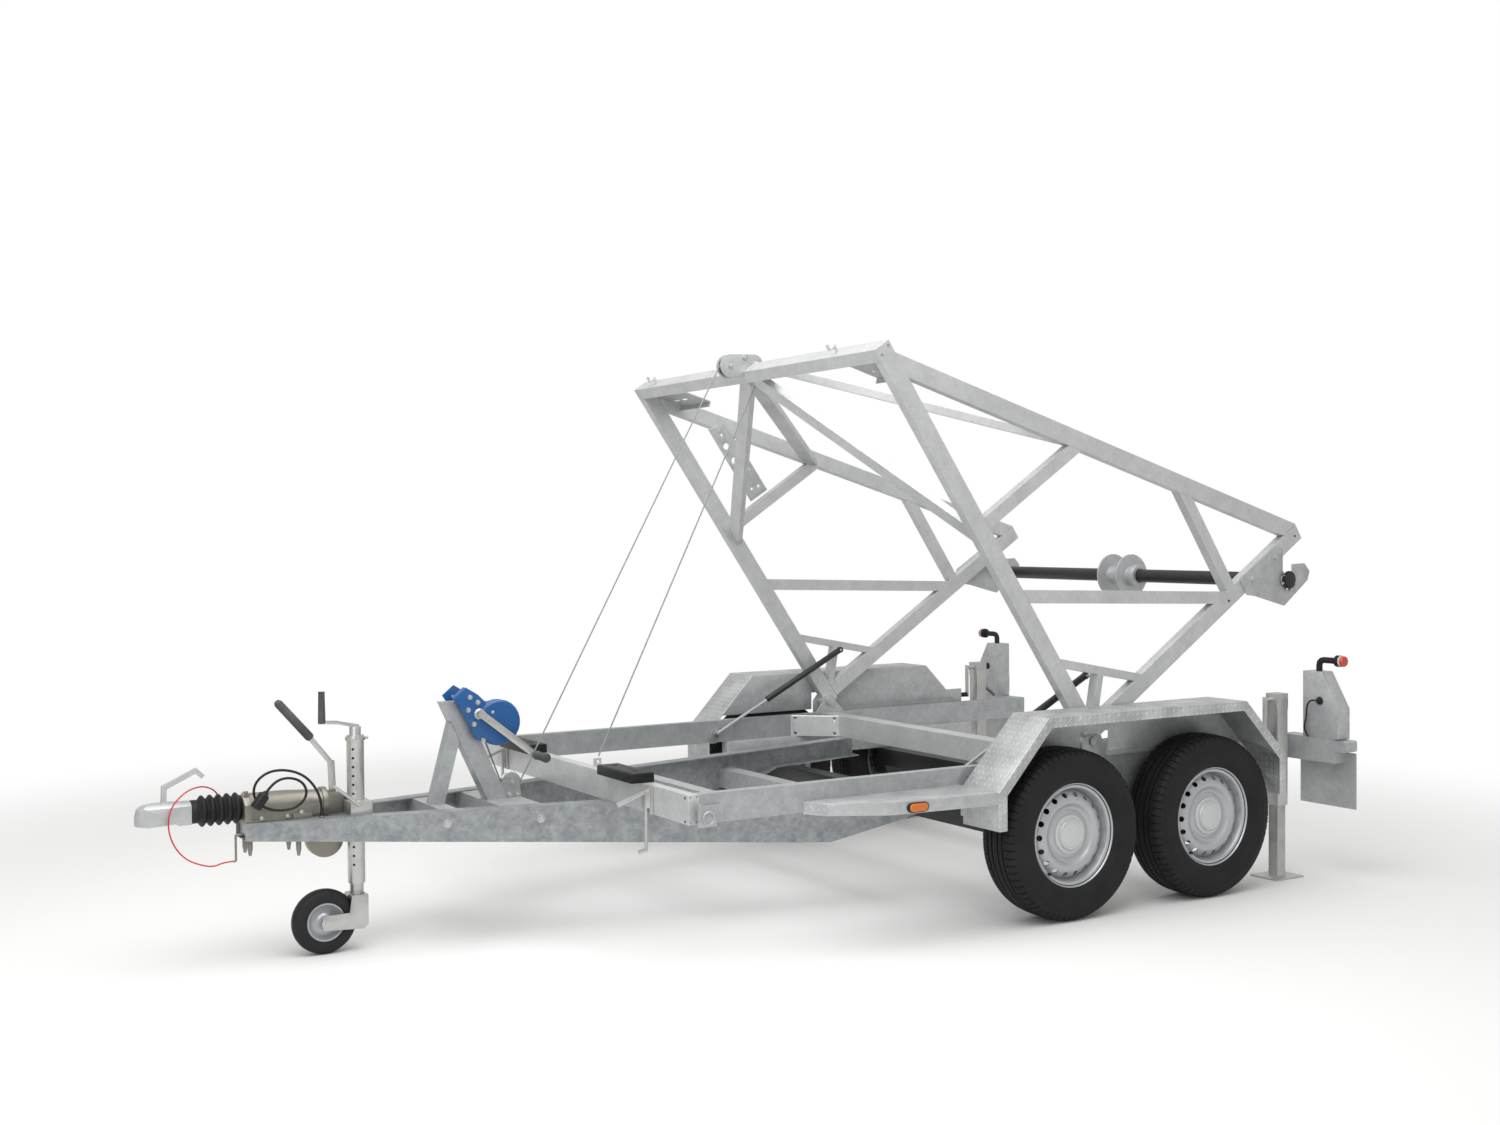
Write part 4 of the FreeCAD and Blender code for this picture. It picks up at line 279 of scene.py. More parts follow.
# Short name of each finish, the function that makes it and what that takes
FINISHES = {
    "zinc": (galvanised_steel, "galvanised_tube", "#cdcecf", "#b7b9ba", 11, 110),
    # A darker copy of the tube finish: painted shade for the rails, the winch post and the lashing plates
    "zinc_mid": (galvanised_steel, "galvanised_painted_shade", "#b2b5b6", "#969a9c", 13, 60),
    "zinc_dull": (galvanised_steel, "galvanised_plate", "#bdbfc0", "#a2a5a7", 13, 70),
    # A still darker copy of the tube finish: painted shade for the drawbar beams low down
    "zinc_dark": (galvanised_steel, "galvanised_painted_deep_shade", "#a2a6a8", "#787d80", 15, 50),
    "zinc_cast": (galvanised_steel, "galvanised_pressing", "#bec0c1", "#a8abad", 8, 60),
    "plate": (tread_plate,),
    "wheel": (painted, "silver_wheel_enamel", "#b4b7ba", 0.36, 0.55, 1.2, 0.05),
    "cap": (painted, "satin_hub_cap", "#c9cccd", 0.4, 0.4, 1.5, 0.04),
    "tyre": (rubber, "tyre_rubber", "#0f1011", "#191a1b", 0.7),
    "black": (rubber, "black_moulded_rubber", "#141415", "#202022", 0.6),
    "plastic": (rubber, "black_moulded_plastic", "#101112", "#1b1c1e", 0.42),
    "black_steel": (painted, "black_enamelled_steel", "#1d1e20", 0.38, 0.0, 2.0, 0.08),
    "blue": (painted, "blue_winch_enamel", "#0b4f8a", 0.34, 0.0, 2.5, 0.08, 0.15),
    "cast_steel": (painted, "grey_overrun_casting", "#86837a", 0.36, 0.6, 3.0, 0.3),
    "grip": (rubber, "grey_moulded_grip", "#3f4042", "#55575a", 0.5),
    # The second colour of each lens below is painted shade for its ribs' grooves
    "amber": (lens, "amber_lamp_lens", "#e87a08", "#a84700"),
    "red": (lens, "red_lamp_lens", "#c8240f", "#7c0d05"),
    "orange": (lens, "orange_lamp_lens", "#dd4a16", "#9a2408"),
    "white_lens": (lens, "clear_lamp_lens", "#d9dcdc", "#9a9e9f"),
    "fitting": (zinc_plated, "zinc_plated_steel"),
    "chrome": (painted, "chromed_rod", "#d7dadc", 0.12, 1.0, 4.0, 0.01),
    "rope": (wire_rope, "wire_rope_steel"),
    "red_cable": (painted, "red_coated_cable", "#c4261d", 0.4, 0.0, 2.0, 0.05),
}
MADE = {}


def finish(name):
    """One material by its short name, made once."""
    if name not in MADE:
        make, *settings = FINISHES[name]
        MADE[name] = make(*settings)
    return MADE[name]


# Modelling helpers

def clear_selection():
    if bpy.context.object is not None and bpy.context.object.mode != "OBJECT":
        bpy.ops.object.mode_set(mode="OBJECT")
    bpy.ops.object.select_all(action="DESELECT")


def pick(piece):
    clear_selection()
    piece.select_set(True)
    bpy.context.view_layer.objects.active = piece


def linked(name, data):
    """A new object in the scene."""
    piece = bpy.data.objects.new(name, data)
    bpy.context.scene.collection.objects.link(piece)
    return piece


def settle(piece):
    """Puts a piece's place into its mesh."""
    pick(piece)
    bpy.ops.object.transform_apply(location=True, rotation=True, scale=True)
    return piece


def finished(piece, name, look, smooth=35):
    """Names a piece that is in its place, and gives it its look."""
    settle(piece)
    bpy.ops.object.shade_smooth_by_angle(angle=math.radians(smooth))
    piece.name = name
    piece.data.name = name
    piece.data.materials.clear()
    piece.data.materials.append(finish(look))
    return piece


def dress(piece, name, body, look, smooth=35, node=None):
    """Finishes a piece that rides on its body, and takes a CAD node's place where one is named."""
    finished(piece, name, look, smooth)
    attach(piece, body)
    if node:
        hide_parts(node)
    return piece


def edit_all(**steps):
    """Runs mesh operators by name on the whole of the picked piece, each with its settings."""
    bpy.ops.object.mode_set(mode="EDIT")
    for name, settings in steps.items():
        bpy.ops.mesh.select_all(action="SELECT")
        getattr(bpy.ops.mesh, name)(**settings)
    bpy.ops.object.mode_set(mode="OBJECT")


def mesh_piece(name, points, edges, faces):
    """A mesh object from a drawn outline or profile."""
    mesh = bpy.data.meshes.new(name)
    mesh.from_pydata([Vector(p) for p in points], edges, faces)
    piece = linked(name, mesh)
    pick(piece)
    return piece


def add_bevel(piece, edge, segments, degrees):
    """Bevel modifier on each edge that is sharper than the angle."""
    change = piece.modifiers.new("edge", "BEVEL")
    change.width = edge
    change.segments = segments
    change.limit_method = "ANGLE"
    change.angle_limit = math.radians(degrees)


def soften(piece, edge, segments=2):
    """Rounds every edge sharper than 30 degrees."""
    pick(piece)
    if edge:
        add_bevel(piece, edge, segments, 30)
        bpy.ops.object.modifier_apply(modifier="edge")
    return piece


def slab(first, second, edge=0.002, segments=2):
    """Rectangular block between two opposite corners, with rounded edges."""
    clear_selection()
    first, second = Vector(first), Vector(second)
    bpy.ops.mesh.primitive_cube_add(size=1, location=(first + second) / 2,
                                    scale=[abs(length) for length in second - first])
    return soften(settle(bpy.context.object), edge, segments)


def drum(start, end, radius, edge=0.001, sides=32, segments=2):
    """Round bar between two points with rounded rims."""
    clear_selection()
    way = Vector(end) - Vector(start)
    bpy.ops.mesh.primitive_cylinder_add(
        vertices=sides, radius=radius, depth=way.length, location=(Vector(start) + Vector(end)) / 2,
        rotation=way.to_track_quat("Z", "Y").to_euler(),
    )
    return soften(settle(bpy.context.object), edge, segments)


def outline_plate(points, thickness, edge=0.0015, segments=2):
    """Flat outline of 3-D points given a thickness along a vector, with rounded edges."""
    piece = mesh_piece("outline", points, [], [list(range(len(points)))])
    edit_all(extrude_region_move={"TRANSFORM_OT_translate": {"value": Vector(thickness)}},
             normals_make_consistent={"inside": False})
    return soften(piece, edge, segments)


def turned(profile, centre=(0, 0, 0), axis=(0, 1, 0), steps=64, closed=True):
    """Profile of (along, radius) points in mm spun about an axis through the centre."""
    axis = Vector(axis).normalized()
    across = Vector((0, 0, 1)) if abs(axis.z) < 0.9 else Vector((1, 0, 0))
    across = (across - axis * across.dot(axis)).normalized()
    points = [Vector(centre) + axis * (a / 1000) + across * (r / 1000) for a, r in profile]
    edges = [(i, i + 1) for i in range(len(points) - 1)]
    if closed:
        edges.append((len(points) - 1, 0))
    piece = mesh_piece("turned", points, edges, [])
    edit_all(spin={"steps": steps, "angle": math.tau, "center": Vector(centre), "axis": axis},
             remove_doubles={"threshold": WELD}, normals_make_consistent={"inside": False})
    return piece


def curve_along(name, points, radius, order, rings, resolution):
    """Smooth open curve with a round section along drawn points."""
    clear_selection()
    curve = bpy.data.curves.new(name, "CURVE")
    curve.dimensions = "3D"
    curve.bevel_depth = radius
    curve.bevel_resolution = rings
    curve.use_fill_caps = True
    curve.resolution_u = resolution
    spline = curve.splines.new("NURBS")
    spline.points.add(len(points) - 1)
    for place, point in zip(spline.points, points):
        place.co = (*point, 1.0)
    spline.order_u = order
    spline.use_endpoint_u = True
    return linked(name, curve)


def tube(points, radius, order=3, resolution=10):
    """Smooth bent bar or cable along drawn points, as a mesh."""
    pick(curve_along("tube", points, radius, order, 2, resolution))
    bpy.ops.object.convert(target="MESH")
    return bpy.context.object


def joined(pieces):
    """Several meshes as one piece."""
    clear_selection()
    for piece in pieces:
        piece.select_set(True)
    bpy.context.view_layer.objects.active = pieces[0]
    if len(pieces) > 1:
        bpy.ops.object.join()
    return bpy.context.view_layer.objects.active


def copy_to(piece, matrix):
    """A copy with its own mesh, moved by a matrix."""
    made = piece.copy()
    made.data = piece.data.copy()
    bpy.context.scene.collection.objects.link(made)
    made.data.transform(matrix)
    return made


def look_of(node, look, edge=0.0):
    """Gives a CAD node its finish, and rounds its edges with modifiers where asked."""
    piece = NODES[node]
    if not piece.data.materials:
        piece.data.materials.append(finish(look))
    for place in piece.material_slots:
        place.material = finish(look)
    if edge:
        piece.modifiers.new("weld", "WELD").merge_threshold = WELD
        add_bevel(piece, edge, 2, 40)


def cad_copy(node):
    """A copy of a CAD node's mesh, with its triangles joined into whole faces."""
    made = NODES[node].copy()
    made.data = NODES[node].data.copy()
    made.parent = None
    for key in list(made.keys()):
        del made[key]
    made.modifiers.clear()
    bpy.context.scene.collection.objects.link(made)
    made.matrix_world = Matrix.Identity(4)
    pick(made)
    edit_all(remove_doubles={"threshold": WELD}, dissolve_limited={"angle_limit": math.radians(1)})
    return made


def stand_for(node, look, edge, smooth, areas=()):
    """A copy with rounded edges takes the node's place; areas are (look, test) for faces that differ."""
    made = soften(cad_copy(node), edge)
    dress(made, f"{node}_dressed", NODES[node]["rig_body"], look, smooth)
    for number, (other, test) in enumerate(areas, 1):
        made.data.materials.append(finish(other))
        for face in made.data.polygons:
            if test(face.center):
                face.material_index = number
    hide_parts(node)
    return made


def hex_bolt(size):
    """A hexagon head with a washer, that stands on the origin and points up."""
    clear_selection()
    bpy.ops.mesh.primitive_cylinder_add(vertices=6, radius=size * 0.577, depth=size * 0.42,
                                        location=(0, 0, size * 0.21 + 0.0015))
    head = soften(settle(bpy.context.object), size * 0.05, 2)
    washer = drum((0, 0, 0), (0, 0, 0.0018), size * 0.78, 0.0004, 24, 1)
    shank = drum((0, 0, size * 0.4), (0, 0, size * 0.62), size * 0.3, 0.0006, 16, 1)
    return joined([head, washer, shank])


def bolted(name, body, places, size, look="fitting"):
    """Like bolts on one body, each at a place and pointing along a direction, as one piece."""
    master = hex_bolt(size)
    copies = []
    for place, way in places:
        turn = Vector(way).to_track_quat("Z", "Y").to_matrix().to_4x4()
        copies.append(copy_to(master, Matrix.Translation(place) @ turn))
    bpy.data.objects.remove(master)
    return dress(joined(copies), name, body, look, 30)


# Settings

class StageSettings(bpy.types.PropertyGroup):
    floor_colour: FloatVectorProperty(
        name="Floor", description="Colour of the floor", subtype="COLOR", size=3, default=(0.76, 0.76, 0.76))
    sky_strength: FloatProperty(
        name="Sky", description="Strength of the light from overhead; 0.7 of it from the horizon",
        default=0.84, min=0.0, max=3.0)
    key_power: FloatProperty(
        name="Top light", description="Power of the soft light above", default=190.0, min=0.0, unit="POWER")
    side_power: FloatProperty(
        name="Side light", description="Power of the soft light at the front left", default=66.0, min=0.0,
        unit="POWER")


class TyreSettings(bpy.types.PropertyGroup):
    pitches: IntProperty(
        name="Shoulder blocks", description="Tread blocks round the tyre's shoulder", default=68, min=20,
        max=120)
    groove_depth: FloatProperty(
        name="Groove depth", description="Depth of the tread grooves", default=0.007, unit="LENGTH")


class FittingSettings(bpy.types.PropertyGroup):
    bolt_size: FloatProperty(
        name="Bolt size", description="Width of a bolt's head across its flats", default=0.019, unit="LENGTH")
    tube_edge: FloatProperty(
        name="Tube corner", description="Corner radius of the welded tubes", default=0.004, unit="LENGTH")


# Stage

class TRAILER_OT_stage(bpy.types.Operator):
    """Floor, lights and the camera at the photograph's viewing angle"""

    bl_idname = "trailer.stage"
    bl_label = "Stage"

    def execute(self, context):
        settings = context.scene.trailer_stage
        scene = context.scene
        scene.view_settings.view_transform = "Standard"
        self.make_world(scene, settings)
        self.make_floor(settings)
        self.make_lights(settings)
        self.make_camera(scene)
        return {"FINISHED"}

    def make_world(self, scene, settings):
        world = bpy.data.worlds.new("studio_surround")
        world.use_nodes = True
        tree = world.node_tree
        tree.nodes.clear()
        rays = add_node(tree, "LightPath").outputs
        seen = calc(tree, "MAXIMUM", rays["Is Camera Ray"], rays["Is Transmission Ray"])
        way = add_node(tree, "NewGeometry").outputs["Incoming"]
        height = add_node(tree, "SeparateXYZ", (0, way)).outputs[2]
        strength = add_node(tree, "MapRange", (0, height), in_1=-1.0, in_2=0.1, in_3=settings.sky_strength,
                            in_4=settings.sky_strength * 0.7).outputs[0]
        light = add_node(tree, "Background", (1, strength), in_0=linear("#fbfaf8"))
        shown = add_node(tree, "Background", in_0=(1, 1, 1, 1), in_1=1.0)
        mix = add_node(tree, "MixShader", (0, seen), (1, light.outputs[0]), (2, shown.outputs[0]))
        add_node(tree, "OutputWorld", (0, mix.outputs[0]))
        scene.world = world

    def make_floor(self, settings):
        """A pale floor that turns white for the camera between 2.6 and 5.5 m from the middle."""
        clear_selection()
        bpy.ops.mesh.primitive_plane_add(size=120, location=(0, 0, 0))
        floor = settle(bpy.context.object)
        floor.name = "studio_floor"
        made, tree, shader = new_material("pale_studio_floor", "#eeeeee", 0.9)
        shader.inputs["Base Color"].default_value = (*settings.floor_colour, 1)
        flat = add_node(tree, "VectorMath", (0, object_place(tree)), operation="LENGTH")
        far = add_node(tree, "MapRange", (0, flat.outputs["Value"]), interpolation_type="SMOOTHSTEP",
                       in_1=2.6, in_2=5.5, in_3=0.0, in_4=1.0)
        rays = add_node(tree, "LightPath")
        fade = calc(tree, "MULTIPLY", far.outputs[0], rays.outputs["Is Camera Ray"])
        white = add_node(tree, "Emission", in_0=(1, 1, 1, 1), in_1=1.0)
        mix = add_node(tree, "MixShader", (0, fade), (1, shader.outputs[0]), (2, white.outputs[0]))
        tree.links.new(mix.outputs[0], tree.nodes["Material Output"].inputs[0])
        floor.data.materials.append(made)

    def make_lights(self, settings):
        for name, place, aim, size, power in (
            ("top_softbox", (-1.0, -1.2, 4.4), (0.2, 0.0, 0.4), 4.6, settings.key_power),
            ("front_softbox", (-5.0, -4.2, 3.4), (0.0, 0.0, 0.7), 3.0, settings.side_power),
        ):
            lamp = bpy.data.lights.new(name, "AREA")
            lamp.energy = power
            lamp.size = size
            lamp.shape = "SQUARE"
            made = linked(name, lamp)
            made.location = place
            made.rotation_euler = (Vector(aim) - Vector(place)).to_track_quat("-Z", "Y").to_euler()

    def make_camera(self, scene):
        """The camera as solved from the photograph: 1622 pixels of focal length for a frame 1500 wide."""
        yaw, pitch, roll = (math.radians(a) for a in (31.23, -1.126, -0.356))
        ahead = Vector((math.sin(yaw) * math.cos(pitch), math.cos(yaw) * math.cos(pitch), math.sin(pitch)))
        level = Vector((math.cos(yaw), -math.sin(yaw), 0))
        right = level * math.cos(roll) + level.cross(ahead) * math.sin(roll)
        up = right.cross(ahead)
        lens_data = bpy.data.cameras.new("photo_camera")
        lens_data.sensor_width = 36
        lens_data.lens = 36 * 1622.4 / 1500
        lens_data.clip_end = 200
        camera = linked("photo_camera", lens_data)
        turn = Matrix((right, up, -ahead)).transposed().to_4x4()
        camera.matrix_world = Matrix.Translation((-3.3183, -5.6034, 1.4546)) @ turn
        scene.camera = camera


# Finishes of the CAD nodes

class TRAILER_OT_finishes(bpy.types.Operator):
    """Gives each CAD node that stays its finish and rounds the edges of the tubes"""

    bl_idname = "trailer.finishes"
    bl_label = "Finishes"

    def execute(self, context):
        tube_edge = context.scene.trailer_fittings.tube_edge
        looks = {
            "zinc": ["front_cross_beam", "main_cross_beam", "tilt_front_arms", "tilt_rear_arms",
                     "tilt_chords", "tilt_braces", "top_beam", "top_stays"],
            # The rails, the winch post and the drawbar beams take darker copies of the zinc: painted shade for
            # the dim light they get low down and on their near sides
            "zinc_mid": ["side_rails", "winch_post"],
            "zinc_dull": ["drawbar_cross_members", "rear_stub_beams"],
            "zinc_dark": ["drawbar_beams"],
            # The top pulley's sheave is made black: painted shade for the gap between its cheeks
            "black_steel": ["top_pulley_sheave"],
            "fitting": ["lower_pulley"],
        }
        rounded = {*looks["zinc"], "side_rails"}
        for look, nodes in looks.items():
            for node in nodes:
                look_of(node, look, tube_edge if node in rounded else 0.0)
        return {"FINISHED"}


class TRAILER_OT_fittings(bpy.types.Operator):
    """Plates, castings, levers, lamp boxes and arms with rounded edges, and their grips and knobs"""

    bl_idname = "trailer.fittings"
    bl_label = "Fittings"

    def execute(self, context):
        plate_edge = 0.0012
        for node, look, edge, smooth in (
            ("axle_carriers", "zinc_dull", plate_edge, 35),
            ("axles", "black_steel", 0.0015, 50),
            ("pivot_brackets", "zinc_dull", plate_edge, 40),
            ("tilt_plates", "zinc_dull", plate_edge, 35),
            ("hook_plates", "zinc_dull", plate_edge, 35),
            ("lamp_boxes", "zinc_dull", 0.002, 30),
            ("rubber_pads", "plastic", 0.005, 35),
            ("coupling_head", "zinc_cast", 0.0045, 50),
            ("overrun_housing", "cast_steel", 0.0015, 50),
            ("spindle_tube", "black_steel", 0.0015, 35),
            ("spindle_spool", "zinc_cast", 0.0012, 35),
            *((f"gas_cylinder_{side}", "black_steel", 0.001, 50) for side in SIDES),
            *((f"gas_rod_{side}", "chrome", 0.0004, 50) for side in SIDES),
            ("lamp_arms", "black", 0.0, 60),
            *((f"leg_{side}", "fitting", 0.0018, 35) for side in SIDES),
            ("jockey_inner_tube", "fitting", 0.0006, 35),
            ("jockey_fork", "fitting", 0.0015, 35),
            ("toggle_latches", "fitting", 0.0012, 50),
        ):
            stand_for(node, look, edge, smooth)
        knob_x = at(1166, 0, 0).x
        stand_for("leg_sleeves", "fitting", 0.0018, 50, [("plastic", lambda c: c.x < knob_x)])
        grip_z = 0.792
        stand_for("jockey_sleeve", "fitting", 0.0008, 50,
                  [("grip", lambda c: c.z > grip_z and c.x < JOCKEY_CENTRE[0] + 0.03)])
        start = at(-2512, 8, 741)
        way = (at(-2630, 8, 877) - start).normalized()
        stand_for("handbrake_lever", "fitting", 0.0012, 50,
                  [("grip", lambda c: (c - start).dot(way) > -0.001)])
        return {"FINISHED"}


# Tyres and wheels

# Half of the tyre's section from the bead to near the middle, as (out from the middle, radius) in mm
TYRE_WALL = [
    (61, 177.6), (66, 183.8), (74, 192.5), (79, 197.3), (82.5, 203.1), (86.5, 209.9), (88.5, 212.8),
    (89.5, 215.7), (88.6, 219.6), (89.6, 224.4), (90.9, 232.2), (91.6, 240.9), (92, 249.6), (91.8, 259.2),
    (91.2, 268), (91.9, 268.9), (91.5, 272.8), (90.4, 273.8), (89.2, 282.5), (87.2, 291.2), (85.4, 297),
]
TYRE_SHOULDER = [
    (83.2, 301.8), (80.4, 306.6), (76.6, 310.5), (71.5, 313.4), (64, 315.7), (56, 317.1), (50, 317.8),
]
TYRE_RIBS = [
    (43, 318.4), (42.4, 311.5), (36.6, 311.5), (36, 318.8), (27, 319.4), (19.5, 319.7), (18.9, 312.8),
    (13.1, 312.8), (12.5, 319.9), (6, 320),
]


def wheel_places():
    """Each road wheel's place by name, and the matrix that brings a wheel from the origin to it."""
    for end, x in AXLE_X.items():
        for side, sign in SIDES.items():
            turn = Matrix.Translation((x, sign * WHEEL_Y, AXLE_Z))
            if sign < 0:
                turn = turn @ Matrix.Rotation(math.pi, 4, "Z")
            yield f"{end}_{side}", turn


def even_sided(half):
    """A whole profile from the half before its middle; a point on the middle counts once."""
    return half + [(-a, r) for a, r in reversed(half) if a]


class TRAILER_OT_tyres(bpy.types.Operator):
    """Road tyres with ribs, shoulder blocks and moulded sidewalls"""

    bl_idname = "trailer.tyres"
    bl_label = "Tyres"

    def execute(self, context):
        settings = context.scene.trailer_tyres
        tyre = self.model(settings.pitches, settings.groove_depth)
        for place, turn in wheel_places():
            dress(copy_to(tyre, turn), f"tyre_{place}_dressed", f"wheel_{place}", "tyre", 40,
                  f"tyre_{place}")
        bpy.data.objects.remove(tyre)
        return {"FINISHED"}

    def model(self, pitches, groove):
        """One pitch of the tread, with the shoulder cut in its last part, repeated round the tyre."""
        half = [(a, r, False) for a, r in TYRE_WALL] + [(a, r, True) for a, r in TYRE_SHOULDER]
        half += [(a, r, False) for a, r in TYRE_RIBS]
        whole = half + [(0, 320, False)] + [(-a, r, m) for a, r, m in reversed(half)]
        step = math.tau / pitches
        rows = []
        for share, cut in ((0.0, 0), (0.42, 0), (0.86, 0), (0.885, 1), (0.975, 1)):
            turn = step * share
            row = []
            for a, r, shoulder in whole:
                radius = r / 1000
                across = a / 1000
                if shoulder and cut:
                    radius -= groove * 0.7
                    across *= 0.985
                row.append((radius * math.sin(turn), across, radius * math.cos(turn)))
            rows.append(row)
        rows.append([(x * math.cos(step) + z * math.sin(step), y, z * math.cos(step) - x * math.sin(step))
                     for x, y, z in rows[0]])
        count = len(whole)
        faces = []
        for start in range(0, (len(rows) - 1) * count, count):
            for k in range(count):
                after = (k + 1) % count
                faces.append([start + k, start + count + k, start + count + after, start + after])
        piece = mesh_piece("tyre_master", [p for row in rows for p in row], [], faces)
        edit_all(spin={"steps": pitches, "dupli": True, "angle": math.tau, "center": (0, 0, 0),
                       "axis": (0, 1, 0)},
                 remove_doubles={"threshold": 0.00005}, normals_make_consistent={"inside": False})
        return piece


class TRAILER_OT_wheels(bpy.types.Operator):
    """Pressed steel wheels with a ring of holes, brake drums, hub caps and valves"""

    bl_idname = "trailer.wheels"
    bl_label = "Wheels"

    def execute(self, context):
        parts = [
            (self.rim(), "wheel", "wheel", "wheel_silver"),
            (self.drum(), "brake_drum", "black_steel", "black_steel"),
            (self.cap(), "hub_cap", "cap", "wheel_silver"),
            (self.valve(), "valve", "plastic", "black_rubber"),
        ]
        for place, turn in wheel_places():
            for piece, label, look, slot in parts:
                dress(copy_to(piece, turn), f"{label}_{place}", f"wheel_{place}", look, 32,
                      f"rim_{place}" if label == "wheel" else None)
        for piece, *_ in parts:
            bpy.data.objects.remove(piece)
        return {"FINISHED"}

    def rim(self):
        """Rolled barrel and pressed disc; the disc's crown carries the holes."""
        barrel = turned([
            (73.2, 195), (74.4, 193), (73.8, 190.6), (70.5, 188.6), (67.2, 185.6), (66, 180.5), (64.2, 176),
            (60, 173.2), (42, 171.2), (30, 164.5), (-50, 164.5), (-60, 173.2), (-66, 181), (-70.5, 188.6),
            (-73.8, 190.6), (-74.4, 193), (-73.2, 195), (-69.5, 192.6), (-63, 184), (-58, 177), (-48, 168.5),
            (28, 168.5), (40, 175), (59, 177), (62.5, 180.5), (64.5, 187.4), (69.5, 192.6),
        ], steps=96)
        disc = turned([
            (30, 166), (34, 163), (44, 156), (52, 147), (57, 138), (59.5, 130), (59, 122), (56, 115), (50, 109),
            (44, 104), (41, 98), (41, 92), (44, 88), (46, 84), (46, 40), (41, 40), (41, 82), (39, 86), (36, 91),
            (36, 99), (39.5, 106), (46, 112.4), (51.5, 118), (54, 124), (54.3, 130), (52, 136), (47.5, 144),
            (40.5, 152.2), (31.5, 158.8), (27, 161.5), (27, 166),
        ], steps=96)
        holes = []
        for number in range(18):
            turn = math.tau * (number + 0.5) / 18
            out = Vector((math.sin(turn), 0, math.cos(turn)))
            middle = out * 0.148 + Vector((0, 0.048, 0))
            way = (out * 0.58 + Vector((0, 0.81, 0))) * 0.014
            holes.append(drum(middle - way, middle + way, 0.0112, 0, 20))
        cutter = joined(holes)
        pick(disc)
        cut = disc.modifiers.new("holes", "BOOLEAN")
        cut.operation = "DIFFERENCE"
        cut.solver = "EXACT"
        cut.object = cutter
        bpy.ops.object.modifier_apply(modifier="holes")
        bpy.data.objects.remove(cutter)
        return joined([barrel, disc])

    def drum(self):
        return turned([
            (-105, 0), (-105, 110), (-99, 118), (-20, 118), (-16, 121), (-8, 121), (-4, 118), (18, 118),
            (26, 112), (26, 96), (34, 88), (40, 80), (40, 0),
        ], closed=False)

    def cap(self):
        """Plain satin cap, ribbed round its edge, with the face left bare."""
        return turned([
            (44, 0), (44, 71), (48.5, 72.6), (51.4, 71), (52.4, 68), (52.3, 63.4), (50.6, 61),
            (51.6, 58), (57, 56.6), (60.2, 54.4), (61, 51), (60, 48.2), (58.6, 47), (60.2, 44.6),
            (61, 40), (61.6, 20), (61.8, 0),
        ], steps=72, closed=False)

    def valve(self):
        return turned([
            (34, 0), (34, 7.5), (44, 7), (49, 4.6), (63, 4.2), (66, 5.6), (75, 5.2), (77, 0),
        ], (0.118, 0, -0.132), steps=16, closed=False)


class TRAILER_OT_jockey_wheel(bpy.types.Operator):
    """Jockey wheel with a solid rubber tyre on a pressed rim"""

    bl_idname = "trailer.jockey_wheel"
    bl_label = "Jockey wheel"

    def execute(self, context):
        tyre = turned(even_sided([
            (-25, 66), (-29.4, 70), (-30.6, 76), (-31, 86), (-29.6, 97), (-25, 105), (-17, 109.6),
            (-15.4, 107.6), (-13, 107.6), (-11.4, 110.8), (0, 111.6),
        ]), JOCKEY_CENTRE, steps=72)
        dress(tyre, "jockey_tyre_dressed", "jockey_wheel", "black", node="jockey_tyre")
        rim = turned(even_sided([
            (-26, 67), (-28.6, 65), (-27, 61), (-20, 57), (-11, 52), (-7, 44), (-7, 30), (-13, 22), (-29, 19),
            (-29, 9),
        ]), JOCKEY_CENTRE)
        dress(rim, "jockey_rim_dressed", "jockey_wheel", "wheel", node="jockey_rim")
        return {"FINISHED"}


# Fenders and steps of tread plate

class TRAILER_OT_tread_plate(bpy.types.Operator):
    """Fenders and side steps with the plate's pattern laid along each fold"""

    bl_idname = "trailer.tread_plate"
    bl_label = "Tread plate"

    def execute(self, context):
        for node in ("fenders", "side_steps"):
            made = cad_copy(node)
            soften(made, 0.0016, 2)
            self.lay_pattern(made)
            dress(made, f"{node}_plate", "chassis", "plate", 30)
            made.data.materials.append(finish("zinc_dull"))
            for face in made.data.polygons:
                inner = abs(face.normal.y) > 0.7 and abs(face.center.y) < 1.13
                if inner or face.normal.z < -0.05:
                    face.material_index = 1
            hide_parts(node)
        return {"FINISHED"}

    def lay_pattern(self, piece):
        """UV in metres on each face's own plane, so that the pattern isn't stretched on a slope."""
        mesh = piece.data
        layer = mesh.uv_layers.new(name="Plate")
        for face in mesh.polygons:
            normal = face.normal
            across = Vector((0, 1, 0)) if abs(normal.y) < 0.9 else Vector((1, 0, 0))
            along = across.cross(normal).normalized()
            across = normal.cross(along)
            for loop in face.loop_indices:
                point = mesh.vertices[mesh.loops[loop].vertex_index].co
                layer.data[loop].uv = (point.dot(along), point.dot(across))


# Cords and ropes

